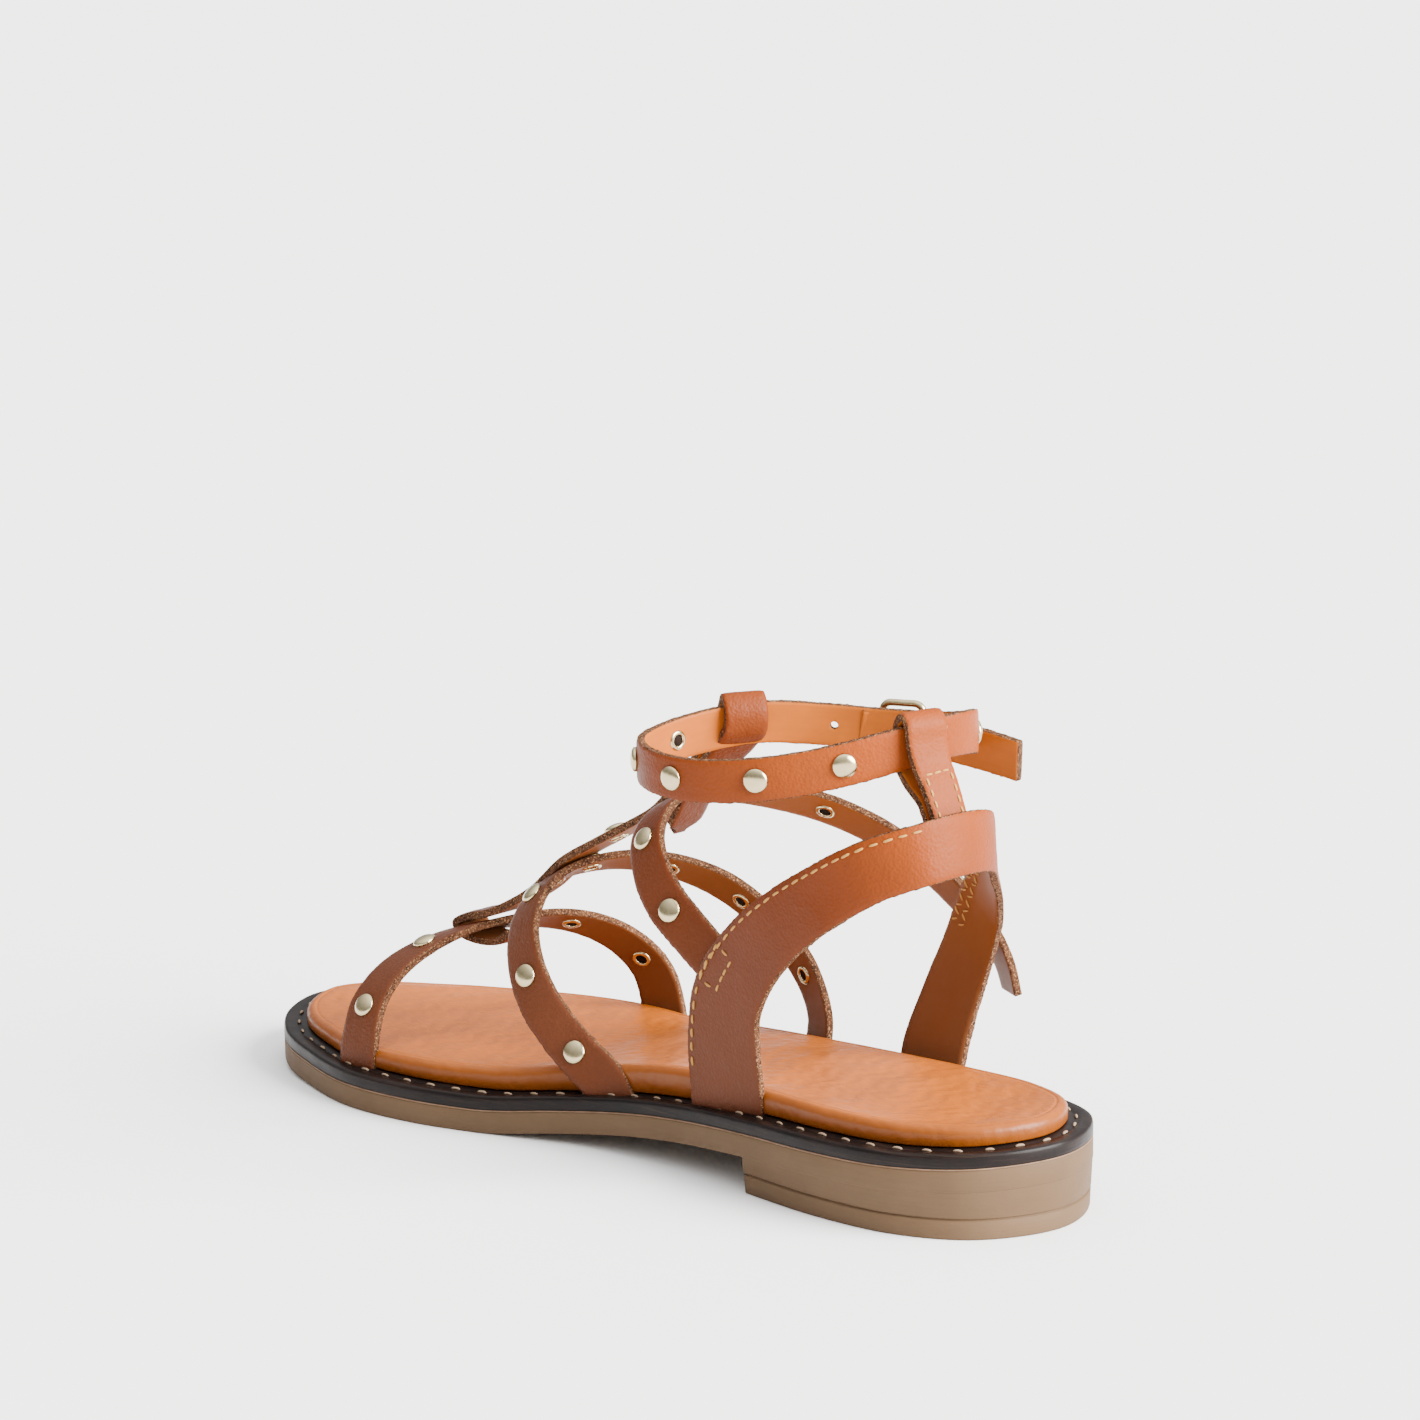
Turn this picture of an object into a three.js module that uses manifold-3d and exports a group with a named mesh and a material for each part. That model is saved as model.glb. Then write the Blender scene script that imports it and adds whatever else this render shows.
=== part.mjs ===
// Studded gladiator sandal, a right shoe, in millimetres.
// +X runs to the toe, +Y to the inner side of the foot, +Z up.
// The origin is on the ground under the middle of the heel.
import * as THREE from 'three';
import { mergeVertices } from 'three/addons/utils/BufferGeometryUtils.js';
import Module from 'manifold-3d';

const wasm = await Module();
wasm.setup();

// Driving sizes of the last and the sole
const LENGTH = 256;
const BALL_WIDTH = 90;
const HEEL_SEAT = 0.12;
const HEEL_LIFT = 12.2;
const TOE_SPRING = 2.6;
const OUTSOLE_THICKNESS = 5.9;
const WELT_THICKNESS = 3.7;
const WELT_LEDGE = 6.0;
const FOOTBED_THICKNESS = 4.8;
const FOOTBED_EDGE_RADIUS = 2.0;
const FOOTBED_EDGE_FOOT = 0.8;
const HEEL_LENGTH = 76;
const HEEL_TAPER = 0.8;
const TOP_LIFT = 4.9;
const GROOVE_DEPTH = 0.6;
const GROOVE_HEIGHT = 0.7;

// Driving sizes of the straps
const INSTEP_HEIGHT = 88;
const ANKLE_HEIGHT = 108;
const STRAP_WIDTH = 10.8;
const STRAP_THICKNESS = 2.0;
const HEEL_BAND_WIDTH = 21;
const ANKLE_STRAP_WIDTH = 10.2;
const ANKLE_RING_LONG = 80;
const ANKLE_RING_SHORT = 56;
const ANKLE_RING_TURN = 44;
const STRAP_SEAT = 2.6;

// Driving sizes of the metal
const STUD_DIAMETER = 6.2;
const STUD_RISE = 1.5;
const STUD_POST = 1.8;
const STUD_BACK = 4.8;
const STUD_BACK_THICKNESS = 0.6;
const BUCKLE_WIRE = 2.0;
const BUCKLE_LENGTH = 11;
const BUCKLE_WIDTH = 14;
const BUCKLE_PRONG = 1.8;

// Clearances
const GAP = 0.3;
const HOLE_GAP = 0.35;
const STUD_GAP = 0.45;

const HEEL_BACK = -HEEL_SEAT * LENGTH;
const TOE_TIP = HEEL_BACK + LENGTH;

// Half widths of the sole seen from above, as shares of the ball width
const SOLE_OUTLINE = [
  { along: 0.0, inner: 0.0, outer: 0.0 },
  { along: 0.012, inner: 0.133, outer: 0.133 },
  { along: 0.045, inner: 0.258, outer: 0.253 },
  { along: 0.11, inner: 0.344, outer: 0.333 },
  { along: 0.2, inner: 0.364, outer: 0.364 },
  { along: 0.3, inner: 0.338, outer: 0.38 },
  { along: 0.4, inner: 0.309, outer: 0.407 },
  { along: 0.5, inner: 0.319, outer: 0.45 },
  { along: 0.6, inner: 0.393, outer: 0.5 },
  { along: 0.7, inner: 0.467, outer: 0.52 },
  { along: 0.79, inner: 0.476, outer: 0.478 },
  { along: 0.87, inner: 0.415, outer: 0.388 },
  { along: 0.935, inner: 0.333, outer: 0.268 },
  { along: 0.98, inner: 0.204, outer: 0.131 },
  { along: 1.0, inner: 0.035, outer: -0.035 },
];

// Height of the outsole's underside: shares of the heel lift and of the toe spring
const ARCH_LINE = [
  { along: 0.0, lift: 1.0, spring: 0 },
  { along: 0.12, lift: 0.88, spring: 0 },
  { along: 0.28, lift: 0.77, spring: 0 },
  { along: 0.42, lift: 0.54, spring: 0 },
  { along: 0.55, lift: 0.2, spring: 0 },
  { along: 0.64, lift: 0.0, spring: 0 },
  { along: 0.8, lift: 0.0, spring: 0 },
  { along: 0.9, lift: 0.0, spring: 0.3 },
  { along: 1.0, lift: 0.0, spring: 1 },
];

// Padded top of the footbed: rise of its middle and its two edges, as shares of its thickness
const FOOTBED_TOP = [
  { along: 0.0, middle: -0.05, inner: 0.0, outer: -0.1 },
  { along: 0.12, middle: -0.3, inner: 0.05, outer: -0.05 },
  { along: 0.28, middle: -0.2, inner: 0.15, outer: -0.15 },
  { along: 0.42, middle: 0.0, inner: 0.5, outer: -0.1 },
  { along: 0.55, middle: 0.05, inner: 0.3, outer: 0.0 },
  { along: 0.68, middle: -0.1, inner: 0.05, outer: -0.08 },
  { along: 0.85, middle: -0.1, inner: -0.1, outer: -0.3 },
  { along: 0.94, middle: -0.1, inner: -0.2, outer: -0.38 },
  { along: 1.0, middle: -0.15, inner: -0.3, outer: -0.38 },
];

// A route holds a strap's middle line: along the length from the heel back, across from the
// centre line as a share of the ball width, and up as a share of the instep height.
// Wide is a share of the strap's named width. Lean tips the outer face towards the toe, or
// upwards on the heel band, and twist turns a folded strap about the upright, in degrees.
const TOE_ROUTE = [
  { along: 0.797, across: 0.412, up: 0.06, wide: 1.12, lean: 0.0 },
  { along: 0.797, across: 0.408, up: 0.16, wide: 1.12, lean: 0.0 },
  { along: 0.7975, across: 0.366, up: 0.28, wide: 1.06, lean: 0.05 },
  { along: 0.796, across: 0.283, up: 0.36, wide: 1.0, lean: 0.15 },
  { along: 0.789, across: 0.167, up: 0.414, wide: 1.0, lean: 0.25 },
  { along: 0.774, across: 0.05, up: 0.446, wide: 1.0, lean: 0.35 },
  { along: 0.75, across: -0.061, up: 0.462, wide: 1.0, lean: 0.4 },
  { along: 0.729, across: -0.167, up: 0.46, wide: 1.0, lean: 0.45 },
  { along: 0.709, across: -0.27, up: 0.43, wide: 1.0, lean: 0.45 },
  { along: 0.692, across: -0.366, up: 0.366, wide: 1.0, lean: 0.45 },
  { along: 0.679, across: -0.436, up: 0.27, wide: 1.05, lean: 0.4 },
  { along: 0.674, across: -0.464, up: 0.15, wide: 1.12, lean: 0.3 },
  { along: 0.674, across: -0.465, up: 0.06, wide: 1.12, lean: 0.3 },
];
const FOREFOOT_ROUTE = [
  { along: 0.484, across: 0.262, up: 0.09, wide: 1.1, lean: -0.25 },
  { along: 0.501, across: 0.264, up: 0.176, wide: 1.1, lean: -0.25 },
  { along: 0.53, across: 0.269, up: 0.234, wide: 1.05, lean: -0.2 },
  { along: 0.561, across: 0.271, up: 0.296, wide: 1.0, lean: -0.05 },
  { along: 0.59, across: 0.267, up: 0.37, wide: 1.0, lean: 0.2 },
  { along: 0.615, across: 0.248, up: 0.458, wide: 1.0, lean: 0.4 },
  { along: 0.634, across: 0.204, up: 0.547, wide: 1.0, lean: 0.5 },
  { along: 0.645, across: 0.133, up: 0.616, wide: 1.0, lean: 0.52 },
  { along: 0.646, across: 0.044, up: 0.664, wide: 1.0, lean: 0.52 },
  { along: 0.632, across: -0.05, up: 0.692, wide: 1.0, lean: 0.55 },
  { along: 0.607, across: -0.144, up: 0.7, wide: 1.0, lean: 0.6 },
  { along: 0.575, across: -0.239, up: 0.676, wide: 1.0, lean: 0.6 },
  { along: 0.538, across: -0.333, up: 0.612, wide: 1.0, lean: 0.55 },
  { along: 0.497, across: -0.394, up: 0.506, wide: 1.0, lean: 0.35 },
  { along: 0.462, across: -0.416, up: 0.39, wide: 1.0, lean: 0.1 },
  { along: 0.437, across: -0.4, up: 0.272, wide: 1.05, lean: -0.2 },
  { along: 0.43, across: -0.367, up: 0.165, wide: 1.1, lean: -0.35 },
  { along: 0.43, across: -0.365, up: 0.08, wide: 1.1, lean: -0.35 },
];
const INSTEP_ROUTE = [
  { along: 0.341, across: 0.293, up: 0.62, wide: 1.0, lean: 0.35 },
  { along: 0.377, across: 0.291, up: 0.69, wide: 1.0, lean: 0.4 },
  { along: 0.411, across: 0.284, up: 0.76, wide: 1.0, lean: 0.4 },
  { along: 0.435, across: 0.266, up: 0.833, wide: 1.0, lean: 0.45 },
  { along: 0.453, across: 0.228, up: 0.905, wide: 1.0, lean: 0.5 },
  { along: 0.466, across: 0.15, up: 0.957, wide: 1.0, lean: 0.52 },
  { along: 0.47, across: 0.056, up: 0.982, wide: 1.0, lean: 0.52 },
  { along: 0.465, across: -0.044, up: 0.985, wide: 1.0, lean: 0.55 },
  { along: 0.452, across: -0.144, up: 0.973, wide: 1.0, lean: 0.6 },
  { along: 0.431, across: -0.244, up: 0.946, wide: 1.0, lean: 0.6 },
  { along: 0.4, across: -0.333, up: 0.908, wide: 1.0, lean: 0.55 },
  { along: 0.361, across: -0.398, up: 0.853, wide: 1.0, lean: 0.4 },
  { along: 0.322, across: -0.438, up: 0.787, wide: 1.0, lean: 0.2 },
  { along: 0.281, across: -0.46, up: 0.708, wide: 1.0, lean: 0.0 },
  { along: 0.248, across: -0.478, up: 0.618, wide: 1.0, lean: -0.25 },
  { along: 0.229, across: -0.502, up: 0.52, wide: 1.0, lean: -0.5 },
  { along: 0.223, across: -0.518, up: 0.43, wide: 1.0, lean: -0.6 },
];
const HEEL_BAND_ROUTE = [
  { along: 0.337, across: 0.268, up: 0.15, wide: 1.12, lean: 0.0 },
  { along: 0.337, across: 0.27, up: 0.22, wide: 1.12, lean: 0.0 },
  { along: 0.336, across: 0.287, up: 0.375, wide: 1.1, lean: 0.0 },
  { along: 0.325, across: 0.306, up: 0.526, wide: 1.02, lean: 0.0 },
  { along: 0.292, across: 0.318, up: 0.668, wide: 0.89, lean: 0.0 },
  { along: 0.246, across: 0.32, up: 0.791, wide: 0.79, lean: 0.0 },
  { along: 0.197, across: 0.307, up: 0.89, wide: 0.73, lean: 0.05 },
  { along: 0.153, across: 0.267, up: 0.968, wide: 0.7, lean: 0.12 },
  { along: 0.118, across: 0.178, up: 1.012, wide: 0.69, lean: 0.2 },
  { along: 0.108, across: 0.044, up: 1.023, wide: 0.69, lean: 0.22 },
  { along: 0.122, across: -0.1, up: 0.993, wide: 0.69, lean: 0.15 },
  { along: 0.154, across: -0.209, up: 0.918, wide: 0.69, lean: 0.05 },
  { along: 0.186, across: -0.3, up: 0.807, wide: 0.69, lean: 0.0 },
  { along: 0.217, across: -0.365, up: 0.687, wide: 0.705, lean: 0.0 },
  { along: 0.243, across: -0.396, up: 0.551, wide: 0.738, lean: 0.0 },
  { along: 0.261, across: -0.386, up: 0.415, wide: 0.81, lean: 0.0 },
  { along: 0.27, across: -0.35, up: 0.273, wide: 0.929, lean: 0.0 },
  { along: 0.271, across: -0.321, up: 0.15, wide: 0.95, lean: 0.0 },
];
// The centre strap: round the toe strap, up the instep, over the ankle strap and back down inside
const CENTRE_ROUTE = [
  { along: 0.716, across: -0.02, up: 0.462, wide: 1.0, twist: 0 },
  { along: 0.731, across: -0.021, up: 0.432, wide: 1.0, twist: 0 },
  { along: 0.757, across: -0.022, up: 0.418, wide: 1.0, twist: 0 },
  { along: 0.785, across: -0.022, up: 0.428, wide: 1.0, twist: 0 },
  { along: 0.793, across: -0.022, up: 0.454, wide: 1.0, twist: 0 },
  { along: 0.779, across: -0.022, up: 0.478, wide: 1.0, twist: 0 },
  { along: 0.75, across: -0.022, up: 0.503, wide: 1.0, twist: 0 },
  { along: 0.717, across: -0.021, up: 0.548, wide: 1.0, twist: 0 },
  { along: 0.68, across: -0.02, up: 0.613, wide: 1.0, twist: 0 },
  { along: 0.638, across: -0.018, up: 0.717, wide: 1.0, twist: 0 },
  { along: 0.594, across: -0.017, up: 0.79, wide: 1.0, twist: 0 },
  { along: 0.546, across: -0.017, up: 0.866, wide: 1.0, twist: 0 },
  { along: 0.509, across: -0.017, up: 0.93, wide: 1.0, twist: 0 },
  { along: 0.481, across: -0.018, up: 1.003, wide: 1.0, twist: 5 },
  { along: 0.458, across: -0.02, up: 1.075, wide: 1.0, twist: 12 },
  { along: 0.437, across: -0.028, up: 1.145, wide: 1.0, twist: 24 },
  { along: 0.424, across: -0.034, up: 1.2, wide: 1.0, twist: 30 },
  { along: 0.4185, across: -0.037, up: 1.25, wide: 1.0, twist: 30 },
  { along: 0.4095, across: -0.023, up: 1.287, wide: 1.0, twist: 30 },
  { along: 0.4005, across: -0.009, up: 1.25, wide: 1.0, twist: 30 },
  { along: 0.401, across: -0.006, up: 1.2, wide: 1.0, twist: 30 },
  { along: 0.416, across: -0.006, up: 1.15, wide: 1.0, twist: 28 },
  { along: 0.4335, across: -0.008, up: 1.1, wide: 1.0, twist: 20 },
  { along: 0.4485, across: -0.012, up: 1.06, wide: 1.0, twist: 12 },
  { along: 0.464, across: -0.016, up: 1.01, wide: 1.0, twist: 5 },
  { along: 0.4755, across: -0.018, up: 0.955, wide: 1.0, twist: 0 },
  { along: 0.486, across: -0.018, up: 0.905, wide: 1.0, twist: 0 },
  { along: 0.498, across: -0.017, up: 0.865, wide: 1.0, twist: 0 },
];
// The rear loop: up from inside the heel band, over the ankle strap and back down inside
const REAR_LOOP_ROUTE = [
  { along: 0.117, across: 0.05, up: 0.975, wide: 0.87, twist: 8 },
  { along: 0.124, across: 0.05, up: 1.08, wide: 0.87, twist: 10 },
  { along: 0.137, across: 0.048, up: 1.17, wide: 0.9, twist: 13 },
  { along: 0.148, across: 0.045, up: 1.227, wide: 0.95, twist: 15 },
  { along: 0.1535, across: 0.043, up: 1.284, wide: 1.0, twist: 15 },
  { along: 0.156, across: 0.041, up: 1.33, wide: 1.0, twist: 15 },
  { along: 0.1637, across: 0.036, up: 1.351, wide: 1.0, twist: 15 },
  { along: 0.1723, across: 0.031, up: 1.33, wide: 1.0, twist: 15 },
  { along: 0.1742, across: 0.03, up: 1.273, wide: 1.0, twist: 15 },
  { along: 0.1735, across: 0.031, up: 1.216, wide: 0.97, twist: 15 },
  { along: 0.161, across: 0.036, up: 1.165, wide: 0.93, twist: 13 },
  { along: 0.1435, across: 0.043, up: 1.12, wide: 0.9, twist: 10 },
  { along: 0.1335, across: 0.048, up: 1.06, wide: 0.87, twist: 10 },
  { along: 0.128, across: 0.05, up: 1.0, wide: 0.87, twist: 8 },
];
// Height of the ankle strap round its ring, as a share of the ankle height
const ANKLE_RING_HEIGHT = [
  { turn: 0, up: 0.963 },
  { turn: 24, up: 0.959 },
  { turn: 48, up: 0.959 },
  { turn: 72, up: 0.972 },
  { turn: 96, up: 0.997 },
  { turn: 120, up: 1.026 },
  { turn: 144, up: 1.039 },
  { turn: 168, up: 1.028 },
  { turn: 192, up: 1.0 },
  { turn: 216, up: 0.977 },
  { turn: 240, up: 0.969 },
  { turn: 264, up: 0.977 },
  { turn: 288, up: 0.986 },
  { turn: 312, up: 0.975 },
  { turn: 336, up: 0.964 },
];
const ANKLE_CENTRE = { along: 0.296, across: 0.067 };
// The free end of the ankle strap, past its buckle
const ANKLE_TAIL_ROUTE = [
  { along: 0.33, across: -0.245, up: 1.185, wide: 1.0 },
  { along: 0.305, across: -0.31, up: 1.17, wide: 1.0 },
  { along: 0.262, across: -0.366, up: 1.165, wide: 1.0 },
  { along: 0.22, across: -0.386, up: 1.153, wide: 1.0 },
  { along: 0.175, across: -0.396, up: 1.137, wide: 1.0 },
];

const COLOURS = {
  rubber: 0x9a7d62,
  welt: 0x3a2a26,
  footbed: 0xc9813f,
  leather: 0xa45a30,
  brass: 0xd8c48e,
};

function material(colour, roughness, metalness) {
  return new THREE.MeshStandardMaterial({ color: colour, roughness, metalness });
}

const group = new THREE.Group();
function addMesh(name, geometry, colour, roughness = 0.6, metalness = 0) {
  const mesh = new THREE.Mesh(geometry, material(colour, roughness, metalness));
  mesh.name = name;
  group.add(mesh);
}

// Joining and cutting of closed meshes
function toSolid(geometry) {
  const bare = geometry.clone();
  bare.deleteAttribute('normal');
  bare.deleteAttribute('uv');
  const merged = mergeVertices(bare, 1e-4);
  const vertProperties = Float32Array.from(merged.attributes.position.array);
  const triVerts = Uint32Array.from(merged.index.array);
  return new wasm.Manifold(new wasm.Mesh({ numProp: 3, vertProperties, triVerts }));
}
function toGeometry(solid) {
  const mesh = solid.getMesh();
  const geometry = new THREE.BufferGeometry();
  geometry.setAttribute('position', new THREE.BufferAttribute(mesh.vertProperties, 3));
  geometry.setIndex(new THREE.BufferAttribute(mesh.triVerts, 1));
  return geometry;
}

// Smooth reading of a table between its rows, without overshoot
function readTable(rows, key, column, at) {
  const last = rows.length - 1;
  const x = THREE.MathUtils.clamp(at, rows[0][key], rows[last][key]);
  let i = 0;
  while (i < last - 1 && x > rows[i + 1][key]) i += 1;
  const slope = (k) => (rows[k + 1][column] - rows[k][column]) / (rows[k + 1][key] - rows[k][key]);
  const tangent = (k) => {
    if (k === 0) return slope(0);
    if (k === last) return slope(last - 1);
    const a = slope(k - 1);
    const b = slope(k);
    return a * b <= 0 ? 0 : (2 * a * b) / (a + b);
  };
  const h = rows[i + 1][key] - rows[i][key];
  const u = (x - rows[i][key]) / h;
  const a = rows[i][column] * (1 + 2 * u) * (1 - u) * (1 - u);
  const b = rows[i + 1][column] * u * u * (3 - 2 * u);
  const c = tangent(i) * h * u * (1 - u) * (1 - u);
  const d = tangent(i + 1) * h * u * u * (u - 1);
  return a + b + c + d;
}

const shareAlong = (x) => (x - HEEL_BACK) / LENGTH;
function outsoleUnder(x) {
  const s = shareAlong(x);
  const lift = readTable(ARCH_LINE, 'along', 'lift', s) * HEEL_LIFT;
  return lift + readTable(ARCH_LINE, 'along', 'spring', s) * TOE_SPRING;
}
const weltUnder = (x) => outsoleUnder(x) + OUTSOLE_THICKNESS;
const weltTop = (x) => weltUnder(x) + WELT_THICKNESS;

// The sole's outline, drawn in by an inset, as inner and outer half lines over x
const OUTLINE_STEPS = 480;
function soleOutline(inset) {
  const inner = SOLE_OUTLINE.map((r) => [HEEL_BACK + r.along * LENGTH, r.inner * BALL_WIDTH]);
  const outer = SOLE_OUTLINE.map((r) => [HEEL_BACK + r.along * LENGTH, -r.outer * BALL_WIDTH]);
  const ring = inner.concat(outer.slice(1, -1).reverse());
  const points = ring.map((p) => new THREE.Vector3(p[0], p[1], 0));
  const curve = new THREE.CatmullRomCurve3(points, true, 'centripetal');
  const innerLine = [];
  const outerLine = [];
  for (let i = 0; i < OUTLINE_STEPS; i += 1) {
    const t = i / OUTLINE_STEPS;
    const p = curve.getPoint(t);
    const d = curve.getTangent(t);
    const q = [p.x + d.y * inset, p.y - d.x * inset];
    const onInner = t * ring.length < inner.length - 1;
    (onInner ? innerLine : outerLine).push(q);
  }
  const tip = innerLine[innerLine.length - 1];
  outerLine.push(innerLine[0]);
  outerLine.reverse();
  outerLine.push(tip);
  const from = Math.min(...innerLine.map((q) => q[0]), ...outerLine.map((q) => q[0]));
  const to = Math.max(...innerLine.map((q) => q[0]), ...outerLine.map((q) => q[0]));
  const across = (line, x) => {
    for (let i = 0; i < line.length - 1; i += 1) {
      const [x0, y0] = line[i];
      const [x1, y1] = line[i + 1];
      if (x0 <= x && x < x1) return y0 + ((x - x0) / (x1 - x0)) * (y1 - y0);
    }
    return line[line.length - 1][1];
  };
  return { from, to, inner: (x) => across(innerLine, x), outer: (x) => across(outerLine, x) };
}

// A closed body through rings of equal count, with fans over both ends
function loftRings(rings) {
  const count = rings[0].length;
  const positions = [];
  rings.forEach((ring) => ring.forEach((p) => positions.push(p[0], p[1], p[2])));
  const index = [];
  for (let i = 0; i < rings.length - 1; i += 1) {
    for (let j = 0; j < count; j += 1) {
      const a = i * count + j;
      const b = i * count + ((j + 1) % count);
      index.push(a, a + count, b, b, a + count, b + count);
    }
  }
  const capFan = (first, flip) => {
    for (let j = 1; j < count - 1; j += 1) {
      if (flip) index.push(first, first + j + 1, first + j);
      else index.push(first, first + j, first + j + 1);
    }
  };
  capFan(0, false);
  capFan((rings.length - 1) * count, true);
  return outward(positions, index);
}
// Turns a closed body's faces outwards when its volume comes out negative
function outward(positions, index) {
  let volume = 0;
  const v = (k) => new THREE.Vector3(positions[3 * k], positions[3 * k + 1], positions[3 * k + 2]);
  for (let i = 0; i < index.length; i += 3) {
    volume += v(index[i]).dot(v(index[i + 1]).cross(v(index[i + 2])));
  }
  if (volume < 0) {
    for (let i = 0; i < index.length; i += 3) [index[i + 1], index[i + 2]] = [index[i + 2], index[i + 1]];
  }
  const geometry = new THREE.BufferGeometry();
  geometry.setAttribute('position', new THREE.Float32BufferAttribute(positions, 3));
  geometry.setIndex(index);
  return geometry;
}

// A layer of the sole: side rows from the bottom up, then rows across the top
const SOLE_STATIONS = 40;
const END_TRIM = 0.25;
function soleLayer(sideRows, topRows = []) {
  const outlines = sideRows.map((row) => soleOutline(row.inset));
  const rings = [];
  for (let i = 0; i <= SOLE_STATIONS; i += 1) {
    const sweep = (1 - Math.cos((Math.PI * i) / SOLE_STATIONS)) / 2;
    const innerSide = [];
    const outerSide = [];
    sideRows.forEach((row, k) => {
      const line = outlines[k];
      const x = line.from + END_TRIM + sweep * (line.to - line.from - 2 * END_TRIM);
      innerSide.push([x, line.inner(x), row.height(x, 1)]);
      outerSide.push([x, line.outer(x), row.height(x, -1)]);
    });
    const a = innerSide[innerSide.length - 1];
    const b = outerSide[outerSide.length - 1];
    const across = topRows.map((row) => {
      const y = a[1] + (b[1] - a[1]) * row.across;
      return [a[0], y, row.height(a[0])];
    });
    rings.push([...innerSide, ...across, ...outerSide.reverse()]);
  }
  return loftRings(rings);
}

// The unit sole: a thin forefoot plate and a heel block moulded in one
const HEEL_BREAST = HEEL_BACK + HEEL_LENGTH;
function makeOutsole() {
  const plate = soleLayer([
    { inset: 0.5, height: outsoleUnder },
    { inset: 0, height: (x) => outsoleUnder(x) + 0.12 * OUTSOLE_THICKNESS },
    { inset: 0, height: (x) => weltUnder(x) - GAP },
  ]);
  const heelSide = (z) => HEEL_TAPER * (1 - z / (HEEL_LIFT + OUTSOLE_THICKNESS));
  const grooveTop = TOP_LIFT + GROOVE_HEIGHT;
  const level = (z) => () => z;
  const blockTop = (x) => outsoleUnder(x) + 0.6 * OUTSOLE_THICKNESS;
  const block = soleLayer([
    { inset: heelSide(0) + 0.4, height: level(0) },
    { inset: heelSide(0), height: level(0.5) },
    { inset: heelSide(TOP_LIFT), height: level(TOP_LIFT) },
    { inset: heelSide(TOP_LIFT) + GROOVE_DEPTH, height: level(TOP_LIFT + 0.15) },
    { inset: heelSide(TOP_LIFT) + GROOVE_DEPTH, height: level(grooveTop - 0.15) },
    { inset: heelSide(grooveTop), height: level(grooveTop) },
    { inset: 0.05, height: (x) => Math.max(blockTop(x), grooveTop + 0.5) },
  ]);
  const ahead = LENGTH;
  const cut = new THREE.BoxGeometry(ahead, 2 * BALL_WIDTH, LENGTH);
  cut.translate(HEEL_BREAST + ahead / 2, 0, 0);
  return toSolid(plate).add(toSolid(block).subtract(toSolid(cut)));
}

function makeWelt() {
  return toSolid(soleLayer([
    { inset: 0, height: weltUnder },
    { inset: 0, height: (x) => weltTop(x) - 0.5 },
    { inset: 0.5, height: weltTop },
  ]));
}

// The footbed sits inside the welt's ledge, with rounded edges and a shaped top
const FOOTBED_COLUMNS = [0.08, 0.22, 0.4, 0.6, 0.78, 0.92];
function makeFootbed() {
  const seat = (x) => weltTop(x) + GAP;
  const edge = (x, side) => {
    const column = side > 0 ? 'inner' : 'outer';
    const rise = readTable(FOOTBED_TOP, 'along', column, shareAlong(x));
    return seat(x) + FOOTBED_THICKNESS * (1 + rise);
  };
  const r = FOOTBED_EDGE_RADIUS;
  const bend = (angle) => ({
    inset: WELT_LEDGE + r * (1 - Math.cos(angle)),
    height: (x, side) => edge(x, side) - r * (1 - Math.sin(angle)),
  });
  const sideRows = [
    { inset: WELT_LEDGE + 0.6, height: (x) => seat(x) },
    { inset: WELT_LEDGE, height: (x) => seat(x) + FOOTBED_EDGE_FOOT },
    bend(0),
    bend(Math.PI / 5),
    bend(Math.PI / 2.6),
  ];
  const topRows = FOOTBED_COLUMNS.map((c) => ({
    across: c,
    height: (x) => {
      const s = shareAlong(x);
      const middle = readTable(FOOTBED_TOP, 'along', 'middle', s);
      const side = readTable(FOOTBED_TOP, 'along', c < 0.5 ? 'inner' : 'outer', s);
      const toSide = Math.abs(2 * c - 1) ** 2.2;
      const slim = Math.min(1, (x - HEEL_BACK) / 30, (TOE_TIP - x) / 30);
      return seat(x) + FOOTBED_THICKNESS * (1 + side * toSide + middle * (1 - toSide) * slim);
    },
  }));
  return toSolid(soleLayer(sideRows, topRows));
}

// A strap's middle line in millimetres, with the outward direction worked out at each step
function routePoints(rows) {
  return rows.map((r) => new THREE.Vector3(
    HEEL_BACK + r.along * LENGTH,
    r.across * BALL_WIDTH,
    r.up * INSTEP_HEIGHT,
  ));
}
// Outward from the foot's own length, for a strap that crosses over the foot
const overFoot = (share) => (p, t, lean) => {
  const flat = Math.hypot(p.y, p.z - share * INSTEP_HEIGHT);
  return new THREE.Vector3(lean * flat, p.y, p.z - share * INSTEP_HEIGHT);
};
// Outward from the heel's upright middle, for a band that goes round the heel
function roundHeel(p, t, lean) {
  const middle = Math.max(p.x, HEEL_BACK + 0.21 * LENGTH);
  return new THREE.Vector3(p.x - middle, p.y, lean * Math.hypot(p.x - middle, p.y));
}
// Outward from the curve's own hollow, for a strap folded into a loop in an upright plane
function folded(p, t, twist) {
  const angle = THREE.MathUtils.degToRad(twist);
  return new THREE.Vector3(Math.sin(angle), Math.cos(angle), 0).cross(t);
}

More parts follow.
